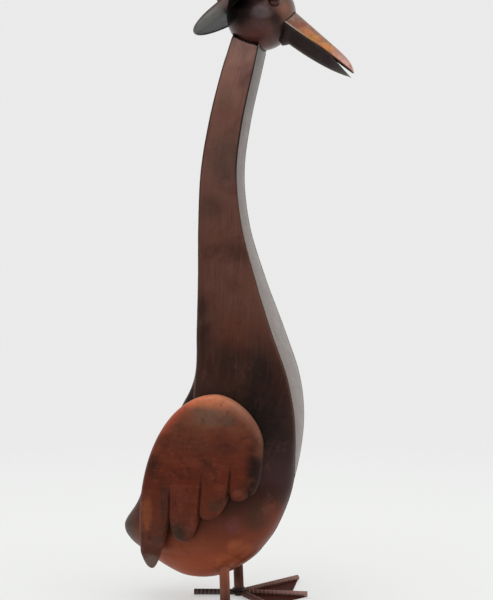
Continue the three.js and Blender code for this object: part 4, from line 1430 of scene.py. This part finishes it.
def ankle_ring(label, radius, height):
    return circle(radius, height, 24) + ANKLE * [1, SIDES[label], 0]


def weld(name, lines, finish, radius, pool, closed=False, **values):
    """Lays a bead along every line; its radius and the step of its pools are in millimetres."""
    return grown(name, weld_bead, [(line, closed) for line in lines], iron[finish],
                 Radius=radius * MM, Pool=pool * MM, Fade=0.0 if closed else 1.0, **values)


front_seams = weld("front_seam_welds", seam_lines(FRONT_EDGE, 1), "seam", 0.95, 3.5, Swell=0.15)
rear_seams = weld("rear_seam_welds", seam_lines(REAR_EDGE, -1), "rear_seam", 0.95, 3.5, Swell=0.15)
keel = weld("keel_weld", [keel_line()], "weld", 1, 3.5, Swell=0.2)
neck_welds = weld("neck_welds", [arc_on_ball(breast_grid[0]), arc_on_ball(back_grid[0]),
                                 near_ball(sided(left_side[0], "right")), near_ball(left_side[0])],
                  "weld", 1.6, 5)
bill_welds = weld("bill_welds", [bill_root(bill_upper), bill_root(bill_lower)], "weld", 1, 4)
hat_welds = weld("hat_welds", [hat_ring(brim_hole - 0.6 * MM, -1.2 * MM),
                               hat_ring(CROWN_RADIUS + 0.3 * MM, 0.9 * MM)],
                 "weld", 1.1, 5, closed=True)
leg_welds = weld("leg_welds", [leg_ring(label, LEG_RADIUS + 0.3 * MM) for label in SIDES],
                 "bar", 1.3, 4, closed=True)
ankle_welds = weld("ankle_welds", [ankle_ring(label, radius * MM, height * MM) for label in SIDES
                                   for radius, height in ((9.2, 4.7), (8.2, 8.2))],
                   "weld", 2.2, 6, closed=True)
WELDS = [(front_seams, "body_patina"), (rear_seams, "body_patina"), (keel, "body_patina"),
         (neck_welds, "head_patina"), (bill_welds, "bill_patina"), (hat_welds, "hat_patina"),
         (leg_welds, "bar_iron"), (ankle_welds, "bar_iron")]
print("welds:", sum(len(piece.data.polygons) for piece, _ in WELDS), "faces")

# %% [markdown]
# ## Join the pieces to the frame
# Everything is welded into one body, so every piece rides on it. The table lists each piece with
# the finish in the record that it takes, though the loop below doesn't use that finish, and all
# but the welds and the rolled rim stand for a plain solid of the frame, which is hidden.

# %% Ride and replace
PIECES = [
    (body_left, "body_patina", ["body_side_left"]), (body_right, "body_patina", ["body_side_right"]),
    (breast, "strip_patina", ["breast_strip"]), (back, "body_patina", ["back_strip"]),
    (ball, "head_patina", ["head_ball"]),
    (eyes["left"], "eye_patina", ["eye_left"]), (eyes["right"], "eye_patina", ["eye_right"]),
    (bill_upper, "bill_patina", ["bill_upper"]), (bill_lower, "bill_patina", ["bill_lower"]),
    (brim, "hat_patina", ["hat_brim"]), (rolled_rim, "hat_patina", []),
    (crown, "hat_patina", ["hat_crown"]),
    (wing_left, "wing_patina", ["wing_left"]), (wing_right, "wing_patina", ["wing_right"]),
    *[(piece, finish, []) for piece, finish in WELDS],
    *[(legs[label], "bar_iron", [f"leg_{label}"]) for label in SIDES],
    *[(stays[label], "bar_iron", [f"wing_stay_{label}"]) for label in SIDES],
    *[(piece, "bar_iron", [node]) for node, piece in toes.items()],
    *[(piece, "web_patina", [node]) for node, piece in webs.items()],
]
for piece, finish, nodes in PIECES:
    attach(piece, "root")
    if nodes:
        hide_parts(*nodes)
triangles = sum(len(p.vertices) - 2 for piece, *_ in PIECES for p in piece.data.polygons)
print(len(PIECES), "pieces,", triangles, "triangles")

# %% [markdown]
# ## Studio
# The bird stands on a pale floor that melts into an equally pale background. The room gives most
# of the light. A large soft lamp on the side that the bill points to brightens the front strip
# and the top of the bill, and leaves the flank dark. Another one above catches the wing's rim.


# %% Floor, world and lights
MIDDLE = (0, 0, 0.42)
FLOOR_MELTS = (0.5, 2.2)  # between these distances the floor turns clear
FLOOR_GLOW = 0.38  # makes the floor as pale as the background
BACKGROUND, ROOM, ROOM_GLOOM, ROOM_AHEAD = 0.825, 0.9, 0.78, 0.12


def pale_floor(radius=7):
    work = bmesh.new()
    bmesh.ops.create_circle(work, cap_ends=True, segments=96, radius=radius)
    mesh = bpy.data.meshes.new("floor")
    work.to_mesh(mesh)
    work.free()
    floor = bpy.data.objects.new("floor", mesh)
    bpy.context.scene.collection.objects.link(floor)
    material = bpy.data.materials.new("pale_floor")
    material.use_nodes = True
    tree = material.node_tree
    shader = tree.nodes["Principled BSDF"]
    shader.inputs["Base Color"].default_value = tone("b4b6b5")
    shader.inputs["Roughness"].default_value = 0.9
    shader.inputs["Emission Color"].default_value = (1, 1, 0.99, 1)
    shader.inputs["Emission Strength"].default_value = FLOOR_GLOW
    place = at_object(Wire(tree))
    away = place.node("ShaderNodeVectorMath", {"operation": "LENGTH"}, {0: place}, "Value")
    clear = place.node("ShaderNodeBsdfTransparent")
    solid = Wire(tree, shader.outputs[0])
    mixed = place.node("ShaderNodeMixShader", None, {0: away.ease(*FLOOR_MELTS), 1: solid, 2: clear})
    tree.links.new(mixed.socket, tree.nodes["Material Output"].inputs[0])
    mesh.materials.append(material)
    return floor


def soft_light(name, place, size, power, colour):
    """A round lamp that shines at the middle of the bird."""
    lamp = bpy.data.lights.new(name, "AREA")
    lamp.shape = "DISK"
    lamp.size = size
    lamp.energy = power
    lamp.color = colour
    light = bpy.data.objects.new(name, lamp)
    light.location = place
    light.rotation_euler = (Vector(MIDDLE) - Vector(place)).to_track_quat("-Z", "Y").to_euler()
    bpy.context.scene.collection.objects.link(light)


def pale_world():
    """The camera sees an even pale grey, and the bird a room that is dark beside the camera."""
    world = bpy.data.worlds.new("studio")
    bpy.context.scene.world = world
    world.use_nodes = True
    tree = world.node_tree
    seen = Wire(tree).node("ShaderNodeLightPath", output="Is Camera Ray")
    direction = seen.node("ShaderNodeTexCoord", output="Generated")
    x, y, z = split(direction)
    gloom = (1 - y.ease(-0.45, 0.25)) * (1 - z.ease(0, 0.5))
    room = ROOM - gloom * ROOM_GLOOM + x.ease(0.2, 1) * ROOM_AHEAD
    shown = seen * BACKGROUND + (1 - seen) * room
    back = tree.nodes["Background"]
    tree.links.new(shown.socket, back.inputs["Strength"])
    back.inputs["Color"].default_value = (0.995, 1, 0.995, 1)


pale_floor()
pale_world()
soft_light("front_light", (1.9, -0.3, 1.5), 2, 7, (1, 0.97, 0.94))
soft_light("top_light", (-0.5, -0.4, 2.1), 1.4, 6, (1, 0.98, 0.96))
bpy.context.scene.view_settings.view_transform = "Standard"
print("studio ready")
